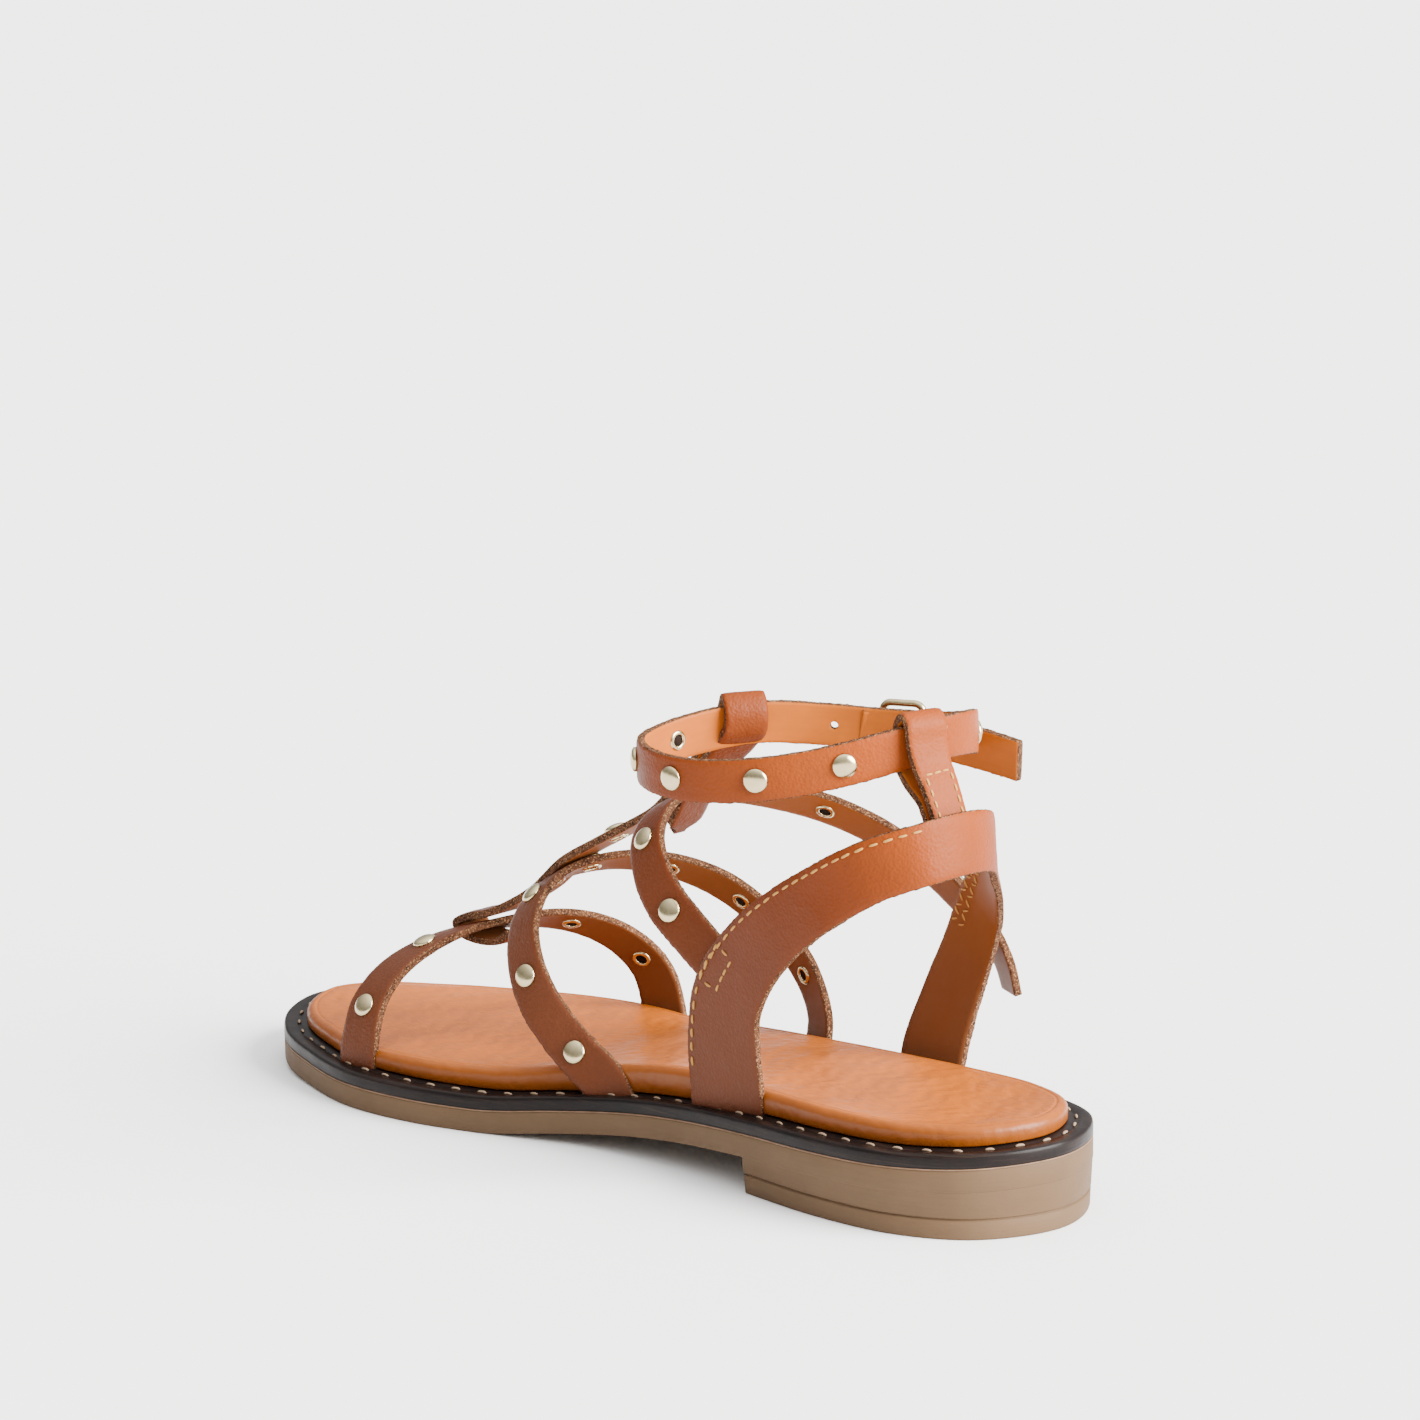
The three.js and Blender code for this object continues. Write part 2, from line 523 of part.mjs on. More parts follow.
function strapFrames(strap, steps) {
  const points = strap.points ?? routePoints(strap.rows);
  const curve = new THREE.CatmullRomCurve3(points, strap.closed ?? false, 'centripetal');
  const spans = strap.closed ? points.length : points.length - 1;
  const frames = [];
  const count = strap.closed ? steps : steps + 1;
  for (let i = 0; i < count; i += 1) {
    const share = i / steps;
    frames.push(frameAt(strap, curve, spans, curve.getUtoTmapping(share)));
  }
  return frames;
}
function frameAt(strap, curve, spans, t) {
  const point = curve.getPoint(t);
  const along = curve.getTangent(t);
  let wide = 1;
  let tip = 0;
  if (strap.rows) {
    const at = t * spans;
    const i = Math.min(Math.floor(at), strap.rows.length - 2);
    const tipOf = (row) => row.lean ?? row.twist ?? 0;
    wide = THREE.MathUtils.lerp(strap.rows[i].wide, strap.rows[i + 1].wide, at - i);
    tip = THREE.MathUtils.lerp(tipOf(strap.rows[i]), tipOf(strap.rows[i + 1]), at - i);
  }
  const hint = strap.outward(point, along, tip);
  const out = hint.addScaledVector(along, -hint.dot(along)).normalize();
  const across = new THREE.Vector3().crossVectors(along, out);
  return { point, along, out, across, width: wide * strap.width };
}
function placeAt(strap, share) {
  const points = strap.points ?? routePoints(strap.rows);
  const curve = new THREE.CatmullRomCurve3(points, strap.closed ?? false, 'centripetal');
  const spans = strap.closed ? points.length : points.length - 1;
  return frameAt(strap, curve, spans, curve.getUtoTmapping(share));
}

// The strap as a solid of four long faces. Grow widens it all round, for a slot's cutter.
function strapSolid(strap, grow = 0, reach = 0) {
  const frames = strapFrames(strap, strap.steps);
  const half = STRAP_THICKNESS / 2 + grow;
  const rings = frames.map((f, i) => {
    const w = f.width / 2 + grow;
    const p = f.point.clone();
    if (!strap.closed && i === 0) p.addScaledVector(f.along, -reach);
    if (!strap.closed && i === frames.length - 1) p.addScaledVector(f.along, reach);
    return [[w, half], [-w, half], [-w, -half], [w, -half]].map(([a, b]) => {
      const q = p.clone().addScaledVector(f.across, a).addScaledVector(f.out, b);
      return [q.x, q.y, q.z];
    });
  });
  if (strap.closed) return toSolid(loopRings(rings));
  return toSolid(loftRings(rings));
}
// A closed ring with no ends
function loopRings(rings) {
  const count = rings[0].length;
  const positions = [];
  rings.forEach((ring) => ring.forEach((p) => positions.push(p[0], p[1], p[2])));
  const index = [];
  for (let i = 0; i < rings.length; i += 1) {
    const next = (i + 1) % rings.length;
    for (let j = 0; j < count; j += 1) {
      const a = i * count + j;
      const b = i * count + ((j + 1) % count);
      const c = next * count + j;
      const d = next * count + ((j + 1) % count);
      index.push(a, c, b, b, c, d);
    }
  }
  return outward(positions, index);
}

const STRAPS = {
  toe: { rows: TOE_ROUTE, width: STRAP_WIDTH, outward: overFoot(0.05), steps: 22 },
  forefoot: { rows: FOREFOOT_ROUTE, width: STRAP_WIDTH, outward: overFoot(0.12), steps: 30 },
  instep: { rows: INSTEP_ROUTE, width: STRAP_WIDTH, outward: overFoot(0.45), steps: 30 },
  heel: { rows: HEEL_BAND_ROUTE, width: HEEL_BAND_WIDTH, outward: roundHeel, steps: 32 },
  centre: { rows: CENTRE_ROUTE, width: STRAP_WIDTH, outward: folded, steps: 52 },
  rear: { rows: REAR_LOOP_ROUTE, width: STRAP_WIDTH, outward: folded, steps: 22 },
};

// The ankle strap's ring: an oval, turned so that its long way runs to the inner front
function ankleRingPoints() {
  const cx = HEEL_BACK + ANKLE_CENTRE.along * LENGTH;
  const cy = ANKLE_CENTRE.across * BALL_WIDTH;
  const turn = THREE.MathUtils.degToRad(ANKLE_RING_TURN);
  return ANKLE_RING_HEIGHT.map((row) => {
    const t = THREE.MathUtils.degToRad(row.turn);
    const u = (ANKLE_RING_LONG / 2) * Math.cos(t);
    const v = (ANKLE_RING_SHORT / 2) * Math.sin(t);
    const x = cx + u * Math.cos(turn) - v * Math.sin(turn);
    const y = cy + u * Math.sin(turn) + v * Math.cos(turn);
    return new THREE.Vector3(x, y, row.up * ANKLE_HEIGHT);
  });
}
function roundAnkle(p) {
  const cx = HEEL_BACK + ANKLE_CENTRE.along * LENGTH;
  const cy = ANKLE_CENTRE.across * BALL_WIDTH;
  return new THREE.Vector3(p.x - cx, p.y - cy, 0);
}
const ankleRing = {
  points: ankleRingPoints(),
  closed: true,
  width: ANKLE_STRAP_WIDTH,
  outward: (p, t) => new THREE.Vector3(t.y, -t.x, 0),
  steps: 44,
};
const ankleTail = {
  rows: ANKLE_TAIL_ROUTE,
  width: ANKLE_STRAP_WIDTH,
  outward: roundAnkle,
  steps: 8,
};

// Studs: where they sit on each strap, as shares of its length
const STUD_PLACES = {
  toe: [0.15, 0.33, 0.64, 0.815],
  forefoot: [0.115, 0.25, 0.378, 0.478, 0.59, 0.702, 0.842],
  instep: [0.114, 0.236, 0.59, 0.7],
  ankle: [0.0, 0.088, 0.19, 0.288, 0.524, 0.91],
  centre: [0.3, 0.44],
};
const STUD_SIDES = 10;
function studGeometry(frame, leather) {
  const top = leather / 2 + STUD_GAP;
  const bottom = -top - STUD_BACK_THICKNESS;
  const profile = [
    [0, bottom],
    [STUD_BACK / 2, bottom],
    [STUD_BACK / 2, -top],
    [STUD_POST / 2, -top],
    [STUD_POST / 2, top],
    [STUD_DIAMETER / 2, top],
    [STUD_DIAMETER / 2.6, top + 0.7 * STUD_RISE],
    [0, top + STUD_RISE],
  ].map(([x, y]) => new THREE.Vector2(x, y));
  const geometry = new THREE.LatheGeometry(profile, STUD_SIDES);
  const basis = new THREE.Matrix4().makeBasis(frame.across, frame.out, frame.along);
  if (basis.determinant() < 0) {
    basis.makeBasis(frame.along, frame.out, frame.across);
  }
  geometry.applyMatrix4(basis.setPosition(frame.point));
  geometry.deleteAttribute('normal');
  geometry.deleteAttribute('uv');
  return mergeVertices(geometry, 1e-4);
}
function studHole(frame) {
  const radius = STUD_POST / 2 + HOLE_GAP;
  const hole = new THREE.CylinderGeometry(radius, radius, 5 * STRAP_THICKNESS, 8);
  const basis = new THREE.Matrix4().makeBasis(frame.across, frame.out, frame.along);
  if (basis.determinant() < 0) basis.makeBasis(frame.along, frame.out, frame.across);
  hole.applyMatrix4(basis.setPosition(frame.point));
  return toSolid(hole);
}

// Everything below a height line, for trimming strap ends to their seats in the welt
function slabBelow(height) {
  const side = 2 * BALL_WIDTH;
  const from = HEEL_BACK - BALL_WIDTH;
  const to = TOE_TIP + BALL_WIDTH;
  const rings = [];
  for (let i = 0; i <= SOLE_STATIONS; i += 1) {
    const x = from + ((to - from) * i) / SOLE_STATIONS;
    const z = height(x);
    rings.push([[x, side, z], [x, -side, z], [x, -side, -side], [x, side, -side]]);
  }
  return toSolid(loftRings(rings));
}
const belowSeat = slabBelow((x) => weltTop(x) - STRAP_SEAT);
const belowSlot = slabBelow((x) => weltTop(x) - STRAP_SEAT - GAP);

// Sole parts, with the straps' seats cut from the welt and the footbed
const strapSolids = Object.fromEntries(Object.entries(STRAPS).map(([k, s]) => [k, strapSolid(s)]));
let welt = makeWelt();
let footbed = makeFootbed();
['toe', 'forefoot', 'heel'].forEach((name) => {
  const cutter = strapSolid(STRAPS[name], GAP, GAP).subtract(belowSlot);
  welt = welt.subtract(cutter);
  footbed = footbed.subtract(cutter);
});

// The upper: every strap joined where they cross
let upper = strapSolids.toe;
['forefoot', 'instep', 'heel', 'centre', 'rear'].forEach((name) => {
  upper = upper.add(strapSolids[name]);
});
upper = upper.subtract(belowSeat);
upper = upper.subtract(strapSolid(ankleRing, GAP));

// The ankle strap and its free end
const ankleOverlap = strapSolid(ankleRing).add(strapSolid(ankleTail));
let ankle = ankleOverlap;

// A post is as long as the leather it goes through
function fitStud(frame, strapBody) {
  let leather = STRAP_THICKNESS;
  let geometry = studGeometry(frame, leather);
  while (toSolid(geometry).intersect(strapBody).volume() > 0.001 && leather < 5 * STRAP_THICKNESS) {
    leather += 0.2 * STRAP_THICKNESS;
    geometry = studGeometry(frame, leather);
  }
  return geometry;
}

// A buckle: a wire frame lying on its strap, with the prong across it
function buckleSolid(frame, lift) {
  const wire = BUCKLE_WIRE;
  const bar = (long, wide, high, x, y, z) => {
    const box = new THREE.BoxGeometry(wide, high, long);
    box.translate(y, z, x);
    return toSolid(box);
  };
  const end = BUCKLE_LENGTH / 2;
  const side = BUCKLE_WIDTH / 2;
  const solid = bar(BUCKLE_LENGTH + wire, wire, wire, 0, side, 0)
    .add(bar(BUCKLE_LENGTH + wire, wire, wire, 0, -side, 0))
    .add(bar(wire, BUCKLE_WIDTH, wire, end, 0, 0))
    .add(bar(wire, BUCKLE_WIDTH, wire, -end, 0, 0))
    .add(bar(BUCKLE_LENGTH + 1.5 * wire, BUCKLE_PRONG, BUCKLE_PRONG, 0, 0, 0.6 * wire));
  const basis = new THREE.Matrix4().makeBasis(frame.across, frame.out, frame.along);
  if (basis.determinant() < 0) basis.makeBasis(frame.across.clone().negate(), frame.out, frame.along);
  basis.setPosition(frame.point.clone().addScaledVector(frame.out, lift));
  const e = basis.elements;
  return solid.transform(e);
}
// A buckle is raised until it lies clear of the leather under it
function fitBuckle(frame, strapBody) {
  let lift = (STRAP_THICKNESS + BUCKLE_WIRE) / 2 + GAP;
  let solid = buckleSolid(frame, lift);
  while (solid.intersect(strapBody).volume() > 0.001 && lift < 5 * STRAP_THICKNESS) {
    lift += 0.1 * STRAP_THICKNESS;
    solid = buckleSolid(frame, lift);
  }
  return buckleSolid(frame, lift + 0.5 * GAP);
}

// Room in the footbed for a stud that comes close to it
function studRoom(frame) {
  const radius = STUD_DIAMETER / 2 + GAP;
  const deep = STRAP_THICKNESS + 2 * (STUD_GAP + STUD_RISE + GAP);
  const room = new THREE.CylinderGeometry(radius, radius, deep, STUD_SIDES);
  const basis = new THREE.Matrix4().makeBasis(frame.across, frame.out, frame.along);
  if (basis.determinant() < 0) basis.makeBasis(frame.along, frame.out, frame.across);
  room.applyMatrix4(basis.setPosition(frame.point));
  return toSolid(room);
}

const studs = [];
Object.entries(STUD_PLACES).forEach(([name, places]) => {
  const strap = name === 'ankle' ? ankleRing : STRAPS[name];
  places.forEach((share, i) => {
    const frame = placeAt(strap, share);
    if (name === 'ankle') ankle = ankle.subtract(studHole(frame));
    else upper = upper.subtract(studHole(frame));
    if (name === 'toe' || name === 'forefoot') footbed = footbed.subtract(studRoom(frame));
    studs.push({ name: `stud_${name}_${i + 1}`, frame, onAnkle: name === 'ankle' });
  });
});

addMesh('outsole', toGeometry(makeOutsole()), COLOURS.rubber, 0.7);
addMesh('welt', toGeometry(welt), COLOURS.welt, 0.5);
addMesh('footbed', toGeometry(footbed), COLOURS.footbed, 0.45);
addMesh('upper', toGeometry(upper), COLOURS.leather, 0.5);
addMesh('ankle_strap', toGeometry(ankle), COLOURS.leather, 0.5);
const BUCKLE_PLACES = { ankle: 0.645, instep: 0.82 };
const ankleBuckle = fitBuckle(placeAt(ankleRing, BUCKLE_PLACES.ankle), ankle);
const instepBuckle = fitBuckle(placeAt(STRAPS.instep, BUCKLE_PLACES.instep), upper);
addMesh('ankle_buckle', toGeometry(ankleBuckle), COLOURS.brass, 0.25, 1);
addMesh('instep_buckle', toGeometry(instepBuckle), COLOURS.brass, 0.25, 1);
studs.forEach((s) => {
  addMesh(s.name, fitStud(s.frame, s.onAnkle ? ankle : upper), COLOURS.brass, 0.25, 1);
});

export default group;
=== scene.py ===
"""A studded strap sandal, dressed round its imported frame: leather straps with raw cut
edges, domed studs, a padded footbed, a stitched welt and a moulded sole.

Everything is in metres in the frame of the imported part: +X runs to the toe, +Y to the
inner side of the foot and +Z up.
"""

import math

import bmesh
import bpy
import numpy as np
from mathutils import Matrix, Vector


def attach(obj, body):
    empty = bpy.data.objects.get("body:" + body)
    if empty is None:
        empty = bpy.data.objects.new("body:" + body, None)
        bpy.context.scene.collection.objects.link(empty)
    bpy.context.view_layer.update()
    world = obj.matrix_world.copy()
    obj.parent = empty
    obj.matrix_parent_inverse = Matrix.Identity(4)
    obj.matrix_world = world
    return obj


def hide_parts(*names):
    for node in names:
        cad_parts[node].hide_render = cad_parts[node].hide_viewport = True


bl_info = {
    "name": "Studded strap sandal",
    "version": (1, 0, 0),
    "blender": (4, 5, 0),
    "location": "View3D > Sidebar > Sandal",
    "description": "Builds a studded strap sandal piece by piece",
    "category": "Add Mesh",
}

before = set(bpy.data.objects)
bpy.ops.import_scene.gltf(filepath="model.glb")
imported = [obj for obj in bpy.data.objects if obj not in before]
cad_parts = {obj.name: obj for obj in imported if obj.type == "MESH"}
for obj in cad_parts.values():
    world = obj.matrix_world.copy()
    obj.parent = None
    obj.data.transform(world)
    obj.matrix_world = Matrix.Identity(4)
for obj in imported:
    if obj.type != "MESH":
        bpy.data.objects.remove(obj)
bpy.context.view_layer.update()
MM = 0.001

# Driving sizes, as in the part's source
LENGTH = 256 * MM
BALL_WIDTH = 90 * MM
HEEL_SEAT = 0.12
HEEL_LIFT = 12.2 * MM
TOE_SPRING = 2.6 * MM
OUTSOLE_THICKNESS = 5.9 * MM
WELT_THICKNESS = 3.7 * MM
WELT_LEDGE = 6.0 * MM
FOOTBED_THICKNESS = 4.8 * MM
FOOTBED_EDGE_RADIUS = 2.0 * MM
HEEL_LENGTH = 76 * MM
HEEL_TAPER = 0.8 * MM
TOP_LIFT = 4.9 * MM
INSTEP_HEIGHT = 88 * MM
ANKLE_HEIGHT = 108 * MM
ANKLE_RING_LONG = 80 * MM
ANKLE_RING_SHORT = 56 * MM
ANKLE_RING_TURN = 44
ANKLE_CENTRE = (0.296, 0.067)
HEEL_BACK = -HEEL_SEAT * LENGTH
HEEL_BREAST = HEEL_BACK + HEEL_LENGTH

# Half widths of the sole seen from above, as shares of the ball width
SOLE_OUTLINE = (
    ("along", "inner", "outer"),
    (0.0, 0.0, 0.0),
    (0.012, 0.133, 0.133),
    (0.045, 0.258, 0.253),
    (0.11, 0.344, 0.333),
    (0.2, 0.364, 0.364),
    (0.3, 0.338, 0.38),
    (0.4, 0.309, 0.407),
    (0.5, 0.319, 0.45),
    (0.6, 0.393, 0.5),
    (0.7, 0.467, 0.52),
    (0.79, 0.476, 0.478),
    (0.87, 0.415, 0.388),
    (0.935, 0.333, 0.268),
    (0.98, 0.204, 0.131),
    (1.0, 0.035, -0.035),
)

# Height of the outsole's underside, as shares of the heel lift and the toe spring
ARCH_LINE = (
    ("along", "lift", "spring"),
    (0.0, 1.0, 0),
    (0.12, 0.88, 0),
    (0.28, 0.77, 0),
    (0.42, 0.54, 0),
    (0.55, 0.2, 0),
    (0.64, 0.0, 0),
    (0.8, 0.0, 0),
    (0.9, 0.0, 0.3),
    (1.0, 0.0, 1),
)

# Padded top of the footbed: rise of its middle and edges, as shares of its thickness
FOOTBED_TOP = (
    ("along", "middle", "inner", "outer"),
    (0.0, -0.05, 0.0, -0.1),
    (0.12, -0.3, 0.05, -0.05),
    (0.28, -0.2, 0.15, -0.15),
    (0.42, 0.0, 0.5, -0.1),
    (0.55, 0.05, 0.3, 0.0),
    (0.68, -0.1, 0.05, -0.08),
    (0.85, -0.1, -0.1, -0.3),
    (0.94, -0.1, -0.2, -0.38),
    (1.0, -0.15, -0.3, -0.38),
)

# Each route holds a strap's middle line. Along is a share of the sole's length, across of
# the ball width and up of the instep height; wide is a share of the strap's named width,
# lean tips its outer face to the toe (upwards on the heel band), and twist turns a folded
# strap about the upright, in degrees.
TOE_ROUTE = (
    ("along", "across", "up", "wide", "lean"),
    (0.797, 0.412, 0.06, 1.12, 0.0),
    (0.797, 0.408, 0.16, 1.12, 0.0),
    (0.7975, 0.366, 0.28, 1.06, 0.05),
    (0.796, 0.283, 0.36, 1.0, 0.15),
    (0.789, 0.167, 0.414, 1.0, 0.25),
    (0.774, 0.05, 0.446, 1.0, 0.35),
    (0.75, -0.061, 0.462, 1.0, 0.4),
    (0.729, -0.167, 0.46, 1.0, 0.45),
    (0.709, -0.27, 0.43, 1.0, 0.45),
    (0.692, -0.366, 0.366, 1.0, 0.45),
    (0.679, -0.436, 0.27, 1.05, 0.4),
    (0.674, -0.464, 0.15, 1.12, 0.3),
    (0.674, -0.465, 0.06, 1.12, 0.3),
)
FOREFOOT_ROUTE = (
    ("along", "across", "up", "wide", "lean"),
    (0.484, 0.262, 0.09, 1.1, -0.25),
    (0.501, 0.264, 0.176, 1.1, -0.25),
    (0.53, 0.269, 0.234, 1.05, -0.2),
    (0.561, 0.271, 0.296, 1.0, -0.05),
    (0.59, 0.267, 0.37, 1.0, 0.2),
    (0.615, 0.248, 0.458, 1.0, 0.4),
    (0.634, 0.204, 0.547, 1.0, 0.5),
    (0.645, 0.133, 0.616, 1.0, 0.52),
    (0.646, 0.044, 0.664, 1.0, 0.52),
    (0.632, -0.05, 0.692, 1.0, 0.55),
    (0.607, -0.144, 0.7, 1.0, 0.6),
    (0.575, -0.239, 0.676, 1.0, 0.6),
    (0.538, -0.333, 0.612, 1.0, 0.55),
    (0.497, -0.394, 0.506, 1.0, 0.35),
    (0.462, -0.416, 0.39, 1.0, 0.1),
    (0.437, -0.4, 0.272, 1.05, -0.2),
    (0.43, -0.367, 0.165, 1.1, -0.35),
    (0.43, -0.365, 0.08, 1.1, -0.35),
)
INSTEP_ROUTE = (
    ("along", "across", "up", "wide", "lean"),
    (0.341, 0.293, 0.62, 1.0, 0.35),
    (0.377, 0.291, 0.69, 1.0, 0.4),
    (0.411, 0.284, 0.76, 1.0, 0.4),
    (0.435, 0.266, 0.833, 1.0, 0.45),
    (0.453, 0.228, 0.905, 1.0, 0.5),
    (0.466, 0.15, 0.957, 1.0, 0.52),
    (0.47, 0.056, 0.982, 1.0, 0.52),
    (0.465, -0.044, 0.985, 1.0, 0.55),
    (0.452, -0.144, 0.973, 1.0, 0.6),
    (0.431, -0.244, 0.946, 1.0, 0.6),
    (0.4, -0.333, 0.908, 1.0, 0.55),
    (0.361, -0.398, 0.853, 1.0, 0.4),
    (0.322, -0.438, 0.787, 1.0, 0.2),
    (0.281, -0.46, 0.708, 1.0, 0.0),
    (0.248, -0.478, 0.618, 1.0, -0.25),
    (0.229, -0.502, 0.52, 1.0, -0.5),
    (0.223, -0.518, 0.43, 1.0, -0.6),
)
HEEL_BAND_ROUTE = (
    ("along", "across", "up", "wide", "lean"),
    (0.337, 0.268, 0.15, 1.12, 0.0),
    (0.337, 0.27, 0.22, 1.12, 0.0),
    (0.336, 0.287, 0.375, 1.1, 0.0),
    (0.325, 0.306, 0.526, 1.02, 0.0),
    (0.292, 0.318, 0.668, 0.89, 0.0),
    (0.246, 0.32, 0.791, 0.79, 0.0),
    (0.197, 0.307, 0.89, 0.73, 0.05),
    (0.153, 0.267, 0.968, 0.7, 0.12),
    (0.118, 0.178, 1.012, 0.69, 0.2),
    (0.108, 0.044, 1.023, 0.69, 0.22),
    (0.122, -0.1, 0.993, 0.69, 0.15),
    (0.154, -0.209, 0.918, 0.69, 0.05),
    (0.186, -0.3, 0.807, 0.69, 0.0),
    (0.217, -0.365, 0.687, 0.705, 0.0),
    (0.243, -0.396, 0.551, 0.738, 0.0),
    (0.261, -0.386, 0.415, 0.81, 0.0),
    (0.27, -0.35, 0.273, 0.929, 0.0),
    (0.271, -0.321, 0.15, 0.95, 0.0),
)
# The centre strap goes round the toe strap, up the instep, over the ankle strap and back
CENTRE_ROUTE = (
    ("along", "across", "up", "wide", "twist"),
    (0.716, -0.02, 0.462, 1.0, 0),
    (0.731, -0.021, 0.432, 1.0, 0),
    (0.757, -0.022, 0.418, 1.0, 0),
    (0.785, -0.022, 0.428, 1.0, 0),
    (0.793, -0.022, 0.454, 1.0, 0),
    (0.779, -0.022, 0.478, 1.0, 0),
    (0.75, -0.022, 0.503, 1.0, 0),
    (0.717, -0.021, 0.548, 1.0, 0),
    (0.68, -0.02, 0.613, 1.0, 0),
    (0.638, -0.018, 0.717, 1.0, 0),
    (0.594, -0.017, 0.79, 1.0, 0),
    (0.546, -0.017, 0.866, 1.0, 0),
    (0.509, -0.017, 0.93, 1.0, 0),
    (0.481, -0.018, 1.003, 1.0, 5),
    (0.458, -0.02, 1.075, 1.0, 12),
    (0.437, -0.028, 1.145, 1.0, 24),
    (0.424, -0.034, 1.2, 1.0, 30),
    (0.4185, -0.037, 1.25, 1.0, 30),
    (0.4095, -0.023, 1.287, 1.0, 30),
    (0.4005, -0.009, 1.25, 1.0, 30),
    (0.401, -0.006, 1.2, 1.0, 30),
    (0.416, -0.006, 1.15, 1.0, 28),
    (0.4335, -0.008, 1.1, 1.0, 20),
    (0.4485, -0.012, 1.06, 1.0, 12),
    (0.464, -0.016, 1.01, 1.0, 5),
    (0.4755, -0.018, 0.955, 1.0, 0),
    (0.486, -0.018, 0.905, 1.0, 0),
    (0.498, -0.017, 0.865, 1.0, 0),
)
# The rear loop goes up from the heel band, over the ankle strap and back down inside
REAR_LOOP_ROUTE = (
    ("along", "across", "up", "wide", "twist"),
    (0.117, 0.05, 0.975, 0.87, 8),
    (0.124, 0.05, 1.08, 0.87, 10),
    (0.137, 0.048, 1.17, 0.9, 13),
    (0.148, 0.045, 1.227, 0.95, 15),
    (0.1535, 0.043, 1.284, 1.0, 15),
    (0.156, 0.041, 1.33, 1.0, 15),
    (0.1637, 0.036, 1.351, 1.0, 15),
    (0.1723, 0.031, 1.33, 1.0, 15),
    (0.1742, 0.03, 1.273, 1.0, 15),
    (0.1735, 0.031, 1.216, 0.97, 15),
    (0.161, 0.036, 1.165, 0.93, 13),
    (0.1435, 0.043, 1.12, 0.9, 10),
    (0.1335, 0.048, 1.06, 0.87, 10),
    (0.128, 0.05, 1.0, 0.87, 8),
)
# Height of the ankle strap round its ring, as a share of the ankle height
ANKLE_RING_HEIGHT = (
    ("turn", "up"),
    (0, 0.963),
    (24, 0.959),
    (48, 0.959),
    (72, 0.972),
    (96, 0.997),
    (120, 1.026),
    (144, 1.039),
    (168, 1.028),
    (192, 1.0),
    (216, 0.977),
    (240, 0.969),
    (264, 0.977),
    (288, 0.986),
    (312, 0.975),
    (336, 0.964),
)
ANKLE_TAIL_ROUTE = (
    ("along", "across", "up", "wide"),
    (0.33, -0.245, 1.185, 1.0),
    (0.305, -0.31, 1.17, 1.0),
    (0.262, -0.366, 1.165, 1.0),
    (0.22, -0.386, 1.153, 1.0),
    (0.175, -0.396, 1.137, 1.0),
)

# The ankle strap's punched hole, as a share of its length, and its radius
PUNCHED_HOLES, HOLE_RADIUS = (0.718,), 0.95 * MM

# Brightness of the studio sky overhead and at the horizon, and how much the key side gains
SKY_TOP, SKY_RIM, SKY_TILT = 2.9, 0.5, 0.3

# Painted light on the grain side: the leather is made lighter and warmer higher up, where
# the key light falls, and paler and bluer low down as painted sheen. Rows give the height
# above the floor in mm, less half the distance towards the toe on the grain side, then the
# factors on red, green and blue
GRAIN_PAINTED_LIGHT = (
    (0, (0.74, 0.98, 1.75)),
    (35, (0.74, 0.78, 0.95)),
    (62, (0.98, 0.80, 0.42)),
    (82, (1.35, 1.05, 0.35)),
    (100, (1.9, 1.5, 0.3)),
)
PAINTED_LIGHT_HEIGHT = 120
# Painted light on the inner side: darker and bluer low down as painted shade, lighter and warmer
# higher up where the key light falls; rows as above
INNER_PAINTED_LIGHT = (
    (20, (0.5, 0.85, 2.2)),
    (60, (0.6, 0.85, 1.4)),
    (88, (0.9, 0.95, 0.6)),
    (98, (1.6, 1.6, 0.5)),
)

# The key light: where it comes from, its strength and its softness in degrees
KEY_FROM, KEY_STRENGTH, KEY_SOFTNESS = (-0.86, -0.28, 0.42), 20.0, 45

# Studs, as shares of each strap's length
STUD_PLACES = {
    "toe": (0.15, 0.33, 0.64, 0.815),
    "forefoot": (0.115, 0.25, 0.378, 0.478, 0.59, 0.702, 0.842),
    "instep": (0.114, 0.236, 0.59, 0.7),
    "ankle": (0.0, 0.088, 0.19, 0.288, 0.524, 0.91),
    "centre": (0.3, 0.44),
}
# Buckles, as shares of each strap's length, and how far each is raised over its middle line
BUCKLE_PLACES = {"ankle": (0.645, 3.6 * MM), "instep": (0.82, 2.45 * MM)}
BUCKLE_LENGTH, BUCKLE_WIDTH, BUCKLE_CORNER = 11 * MM, 12.0 * MM, 2.4 * MM
BUCKLE_WIRE, PRONG_WIRE = 0.9 * MM, 0.8 * MM

# Stitches: length and radius of the thread bead, then how much size and turn vary
BAND_STITCH = (2.5 * MM, 0.31 * MM, 0.06, 0.05)
BOX_STITCH = (2.1 * MM, 0.3 * MM, 0.06, 0.06)
ZIGZAG_STITCH = (2.3 * MM, 0.25 * MM, 0.06, 0.08)
WELT_STITCH = (2.6 * MM, 0.36 * MM, 0.08, 0.06)
STITCH_LIFT = 1.02 * MM
WELT_STITCH_INSET = 3.95 * MM

# The photographer's camera: place, turns in degrees and lens
CAMERA_PLACE = (-0.9163, 1.0350, 0.4401)
CAMERA_AZIMUTH, CAMERA_ELEVATION, CAMERA_ROLL = -46.0, 12.97, -0.93
CAMERA_SENSOR, CAMERA_LENS = 36, 6038.7 / 1420 * 36
FLOOR_HALF, FLOOR_CORNERS = 30.0, ((-1, -1), (1, -1), (1, 1), (-1, 1))


def length_setting(name, description, size):
    return bpy.props.FloatProperty(
        name=name, description=description, default=size, unit="LENGTH"
    )


def colour_setting(name, description, colour):
    return bpy.props.FloatVectorProperty(
        name=name, description=description, default=colour, subtype="COLOR", size=3, min=0, max=1
    )


